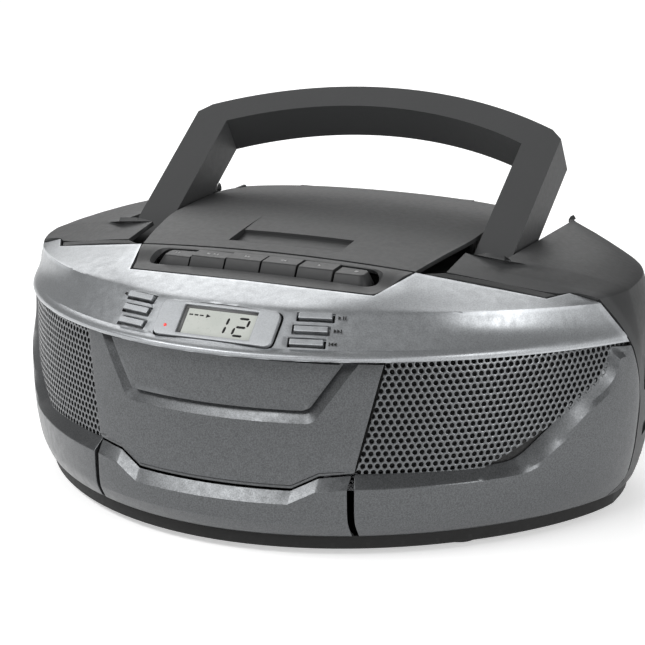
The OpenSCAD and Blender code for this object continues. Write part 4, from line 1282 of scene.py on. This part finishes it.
def lid_underside():
    parts = []
    for side in (-1, 1):
        skirt = [Vector((side * (lid_side(y) - 1.6), y, 0)) for y in range(12, 85, 4)]
        for a, b in zip(skirt, skirt[1:]):
            loop = [(a.x - 0.9, a.y), (a.x + 0.9, a.y), (b.x + 0.9, b.y), (b.x - 0.9, b.y)]
            parts.append(prism(loop, 121, 129.4))
        place = Matrix.Translation((side * 44 - 6, 91, 124)) @ Matrix.Rotation(math.radians(90), 4, "Y")
        parts.append(prism(circle(4, 32), 0, 12, place))
        parts.append(prism(box_loop(12, 6, 0.5, side * 44, 91), 124.5, 130))
    ring = lathe([(19, 130.4), (19, 122.6), (16.6, 122.6), (16.6, 128.5), (0.01, 128.5)], 64, moved(0, 24, 0))
    parts.append(ring)
    for turn in range(6):
        a = math.radians(60 * turn)
        reach = 34 if math.sin(a) < -0.5 else 52
        rib = [(19 * math.cos(a) - 0.8 * math.sin(a), 24 + 19 * math.sin(a) + 0.8 * math.cos(a)),
               (19 * math.cos(a) + 0.8 * math.sin(a), 24 + 19 * math.sin(a) - 0.8 * math.cos(a)),
               (reach * math.cos(a) + 0.8 * math.sin(a), 24 + reach * math.sin(a) - 0.8 * math.cos(a)),
               (reach * math.cos(a) - 0.8 * math.sin(a), 24 + reach * math.sin(a) + 0.8 * math.cos(a))]
        parts.append(prism(rib, 126.6, 129.8))
    points, faces = joined(parts)
    piece = mesh_piece("cd_lid_ribs", points, faces, "cd_lid", "charcoal_plastic", CHARCOAL)
    bevel(piece, 0.25, 2)


# ---------- cabinet ----------

SLOT_X = 104
CORNER_R = 3
BACK_EDGE_Y = 103
LEDGE_Y, LEDGE_Z = 99, 88
HAIR = 0.02
SHOULDER_Z = 111
CONTROL_Y, CONTROL_Z = 40, 72


COVER_A, COVER_B, TURN_A, TURN_B = 2 / 44, 3 / 44, 0.36, 0.4
EDGE_X = table([(0, 84.6), (COVER_A, 84.6), (COVER_B, SLOT_X), (TURN_A, SLOT_X)])
COVER_Y = -10.2
EDGE_Y = table([(0, -34.8), (COVER_A, COVER_Y), (COVER_B, COVER_Y), (TURN_A, BACK_EDGE_Y - CORNER_R)])
EDGE_Z = table([(0, 123.2), (COVER_A, 127.2), (COVER_B, 125.4), (TURN_A, 124), (0.5, 123.5)])
SHOULDER_START = (Vector((138.2, -11.6, 113.6)), Vector((133.8, -16.4, 113.8)))
EDGE_REACH = 0.05
shoulder_fade = table([(0, 0.1), (COVER_B, 0.3), (TURN_A, 1), (0.5, 0.8)])


def top_edge(f):
    """Inner top edge of the cabinet's right half: beside the lid, round the handle's leg, along its slot,
    then across the back."""
    z = EDGE_Z(f)
    if f < TURN_A:
        return Vector((EDGE_X(f), EDGE_Y(f), z))
    if f < TURN_B:
        q = math.pi / 2 * (f - TURN_A) / (TURN_B - TURN_A)
        return Vector((SLOT_X - CORNER_R * (1 - math.cos(q)), BACK_EDGE_Y - CORNER_R * (1 - math.sin(q)), z))
    return Vector((mix(SLOT_X - CORNER_R, 0, (f - TURN_B) / (0.5 - TURN_B)), BACK_EDGE_Y, z))


def soft_edge(f):
    """The inner top edge with its corners averaged out, which the shoulder follows."""
    near = [top_edge(max(0.0, min(0.5, f + k * EDGE_REACH / 4))) for k in range(-4, 5)]
    return sum(near, Vector()) / len(near)


def cabinet_column(f, levels):
    """One line of the cabinet's skin, from its lower edge up to its inner top edge."""
    def at(z):
        s = seam(z) + SEAM_HALF
        return wall(mix(s, 360 - s, f), z, skirt_roll(z))

    edge, soft, rim = top_edge(f), soft_edge(f), at(SHOULDER_Z)
    rise = shoulder_fade(f)
    if f == 0:
        first, second = SHOULDER_START
    else:
        first = rim.lerp(soft, 0.28) + Vector((0, 0, 6 * rise))
        second = rim.lerp(soft, 0.58) + Vector((0, 0, 4.6 * rise))
    knots = [(0, at(104)), (0.1, at(107.5)), (0.2, at(110)), (0.24, rim)]
    knots += [(0.46, first), (0.66, second), (1, edge)]
    axes = [smooth_table([(place, point[k]) for place, point in knots]) for k in range(3)]
    stops = [0.05, 0.1, 0.15, 0.2, 0.23, 0.24, 0.25, 0.29, 0.34]
    stops += [0.4, 0.46, 0.52, 0.59, 0.66, 0.74, 0.83, 0.92, 1]
    return [at(z) for z in levels] + [Vector([axis(v) for axis in axes]) for v in stops]


def cabinet():
    levels = [10, 10.5, 11.5, 13, 16, 21, 26, 32, 38, 44, 50, 56, 62, 68, 74, 80, 85, 89, 93, 97, 101, 104]
    places = spread([0, COVER_A, COVER_B, TURN_A], 1 / 88) + [0.37, 0.38, 0.39, TURN_B]
    places += spread([TURN_B, 0.5], 1 / 66)[1:]
    half = [cabinet_column(f, levels) for f in places]
    rows = []
    for r in range(len(half[0])):
        right = [column[r] for column in half]
        left = [Vector((-p.x, p.y, p.z)) for p in reversed(right[:-1])]
        rows.append(right + left)
    points, faces = grid(rows)
    piece = mesh_piece("cabinet_shell", points, faces, "root", "charcoal_plastic", CHARCOAL, ["cabinet"])
    open_ledge(facing_out(piece))
    thicken(piece, 2.2)
    cutters = []
    for side in (-1, 1):
        cutters.append(side_cutter(side, [(-17, -13), (17, -7), (17, 16), (-17, 16)], 3))
        cutters.append(side_cutter(side, [(-12, -37), (10, -34), (10, -27), (-12, -30)], 1.5))
    cutters.append(prism(box_loop(159.2, 40, 0, 0, 110), 13.4, 70.6))
    cutters.append(prism(box_loop(24, 40, 0, 112, 104), 23, 43))
    cutters += vents()
    cut(piece, cutters)
    bevel(piece, 0.4, 3, 50)
    walls = []
    for side in (-1, 1):
        walls.append(prism(box_loop(2.2, 99, 0.4, side * (SLOT_X + 1.5), 44.5), 94, 121.2))
    piece = mesh_piece("cabinet_slot_walls", *joined(walls), "root", "charcoal_plastic", CHARCOAL)
    bevel(piece, 0.3)


def open_ledge(piece):
    """Opens the back above the handle's ledge, where the disc deck shows."""
    bm = bmesh.new()
    bm.from_mesh(piece.data)
    reach, depth, floor = (SLOT_X + HAIR) * MM, LEDGE_Y * MM, LEDGE_Z * MM
    planes = [((reach, 0, 0), (1, 0, 0)), ((-reach, 0, 0), (1, 0, 0)), ((0, depth, 0), (0, 1, 0)),
              ((0, 0, floor), (0, 0, 1))]
    for point, normal in planes:
        near = [f for f in bm.faces if f.calc_center_median().y > 0.8 * depth]
        geometry = set(near)
        for f in near:
            geometry.update(f.edges)
            geometry.update(f.verts)
        bmesh.ops.bisect_plane(bm, geom=list(geometry), plane_co=point, plane_no=normal)
    gone = []
    for f in bm.faces:
        x, y, z = f.calc_center_median()
        if abs(x) < reach and y > depth and z > floor:
            gone.append(f)
    bmesh.ops.delete(bm, geom=gone, context="FACES")
    bm.to_mesh(piece.data)
    bm.free()
    return piece


def side_cutter(side, corners, radius):
    """A cutter through a side wall: corners are (y, z) about the control's centre."""
    loop = rounded([(CONTROL_Y + y, CONTROL_Z + z) for y, z in corners], radius, 5)
    count = len(loop)
    points = [(side * 140, y, z) for y, z in loop] + [(side * 175, y, z) for y, z in loop]
    faces = [tuple(reversed(range(count))), tuple(range(count, 2 * count))]
    faces += [(k, (k + 1) % count, count + (k + 1) % count, count + k) for k in range(count)]
    return points, faces


def vents():
    """Rows of slots low on the back, on both sides of the battery door."""
    out = []
    for side in (-1, 1):
        for k in range(6):
            if side > 0 and k < 3:
                continue
            z = 26 + 7 * k
            out.append(prism(box_loop(30, 40, 0, side * 108, 104), z, z + 2.6))
    return out


def base():
    loop = [outline(t, 157 - 3, 129 - 3, 98 - 3) for t in [k * 3 for k in range(120)]]
    holes = []
    for row in range(5):
        for side in (-1, 1):
            holes.append(box_loop(46, 2.6, 1.2, side * 62, -34 + 9 * row, 4))
    points, faces = flat_mesh(loop, holes, [], 9)
    made = [Vector((x, y, 3.5)) for x, y in points]
    piece = mesh_piece("base_plate", made, faces, "root", "black_plastic", BLACK)
    facing_up(piece)
    for polygon in piece.data.polygons:
        polygon.use_smooth = True
    flip(piece)
    bevel(thicken(piece, 3), 0.5, 3, 50)
    rows = []
    for inset, z in ((3.0, 9.8), (3.0, 4.4), (3.25, 3.9), (3.9, 3.52), (5.2, 3.52), (5.2, 9.8)):
        rows.append([Vector((*outline(k * 2, 157 - inset, 129 - inset, 98 - inset), z)) for k in range(180)])
    points, faces = grid(rows + rows[:1], closed=True)
    mesh_piece("base_rim", points, faces, "root", "black_plastic", BLACK, ["base_pan"])


def flip(piece):
    bm = bmesh.new()
    bm.from_mesh(piece.data)
    bmesh.ops.reverse_faces(bm, faces=bm.faces)
    bm.to_mesh(piece.data)
    bm.free()


# ---------- side controls ----------

def control_wheel(mirror):
    """Knurled wheel with a dished face."""
    name = "volume_wheel" if mirror else "tuning_wheel"
    place = Matrix.Translation((150.6, CONTROL_Y, CONTROL_Z)) @ Matrix.Rotation(math.radians(90), 4, "Y")
    ridges, per = 36, 6
    rows = []
    profile = [(3, 0, 0), (12, 0, 0), (12.9, 0.8, 1), (13, 1.6, 1), (13, 8.2, 1), (12.7, 9.3, 1), (11.6, 10, 0.2),
               (8.8, 10, 0), (8, 9.2, 0), (7.6, 8.8, 0), (2, 8.7, 0), (0.4, 8.7, 0)]
    for radius, height, knurl in profile:
        row = []
        for k in range(ridges * per):
            turn = 2 * math.pi * k / (ridges * per)
            notch = 0.75 * knurl * (0.5 - 0.5 * math.cos(turn * ridges)) ** 2
            r = radius - notch
            row.append((r * math.cos(turn), r * math.sin(turn), height))
        rows.append(row)
    points, faces = grid(rows, closed=True)
    points = [place @ Vector(p) for p in points]
    piece = mesh_piece(f"{name}_knob", points, faces, name, "black_plastic", DARK_KEY, [name], mirror)
    crisp(piece, 40)


# ---------- CAD pieces that keep their own shape ----------

KEPT = {
    "rubber_feet": 0.6, "speaker_left": 0.3, "speaker_right": 0.3, "speaker_cones": 0.2, "cd_deck": 0.5,
    "cd_mechanism": 0.2, "cassette_chassis": 0.2, "tape_head": 0.3, "drive_motor": 0.5, "main_board": 0.2,
    "transformer": 0.5, "ac_inlet": 0.4, "battery_box": 0.4, "hinge_pins": 0.2, "housing_screws": 0.15,
    "antenna_mount": 0.4, "control_housings": 0.4, "handle": 0.9, "disc_clamp": 0.5, "cassette_holder": 0.3,
    "band_switch": 0.5, "function_switch": 0.5, "antenna_tube": 0.3, "antenna_rod": 0.3, "battery_door": 0.4,
    "cd_spindle": 0.4, "pickup_sled": 0.3, "supply_spool": 0.25, "takeup_spool": 0.25, "flywheel": 0.4,
    "motor_pulley": 0.3,
}


def keep_cad_pieces():
    for name, width in KEPT.items():
        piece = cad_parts[name]
        for material_slot in piece.material_slots:
            label = material_slot.material.name.split(".")[0] if material_slot.material else ""
            material_slot.material = SLOTS.get(label, BLACK)
        for polygon in piece.data.polygons:
            polygon.use_smooth = True
        bevel(piece, width, 3 if width > 0.3 else 2, 35)


# ---------- stage, light and camera ----------

def stage():
    mesh = bpy.data.meshes.new("floor")
    size = 9
    mesh.from_pydata([(-size, -size, 0), (size, -size, 0), (size, size, 0), (-size, size, 0)], [], [(0, 1, 2, 3)])
    floor = bpy.data.objects.new("floor", mesh)
    bpy.context.scene.collection.objects.link(floor)
    f = Finish("floor_paper")
    f.use("Base Color", f.tint(f.noise(3, 2), grey(0.84), grey(0.86)))
    f.set(Roughness=0.9, Specular_IOR_Level=0.1, Emission_Color=(1, 1, 1, 1), Emission_Strength=0.5)
    mesh.materials.append(f.material)


def light(name, place, target, size, power, tall=None):
    data = bpy.data.lights.new(name, "AREA")
    data.shape = "RECTANGLE"
    data.size = size
    data.size_y = tall or size
    data.energy = power
    lamp_object = bpy.data.objects.new(name, data)
    lamp_object.location = place
    aim = Vector(target) - Vector(place)
    lamp_object.rotation_euler = aim.to_track_quat("-Z", "Y").to_euler()
    bpy.context.scene.collection.objects.link(lamp_object)


def camera():
    data = bpy.data.cameras.new("camera")
    data.lens = 121.185
    data.sensor_width = 36
    data.clip_end = 50
    view = bpy.data.objects.new("camera", data)
    view.location = (0.4392, -0.9534, 0.3621)
    aim = Vector((-0.40016772, 0.87917951, -0.2586681))
    view.rotation_euler = aim.to_track_quat("-Z", "Y").to_euler()
    bpy.context.scene.collection.objects.link(view)
    bpy.context.scene.camera = view


def lights():
    middle = (0, 0, 0.08)
    light("back", (-0.8, 1.5, 1.25), middle, 1.6, 15, 1.2)
    light("front", (-0.75, -1.2, 1.5), middle, 2.0, 26, 0.55)
    light("right", (1.6, -0.6, 0.5), middle, 0.35, 8, 1.0)
    world = bpy.data.worlds.new("studio")
    bpy.context.scene.world = world
    world.use_nodes = True
    background = world.node_tree.nodes["Background"]
    background.inputs["Color"].default_value = (1, 1, 1, 1)
    background.inputs["Strength"].default_value = 0.3
    bpy.context.scene.view_settings.view_transform = "Standard"


# ---------- build ----------

stage()
lights()
camera()
bumper_center()
for mirrored in (False, True):
    bumper_side(mirrored)
    grille(mirrored)
    grille_cloth(mirrored)
    control_wheel(mirrored)
cassette_door()
door_panel()
fascia()
lcd()
for number in range(6):
    cd_button(number)
    cassette_key(number)
key_panel()
top_strips()
cd_lid()
cabinet()
base()
keep_cad_pieces()
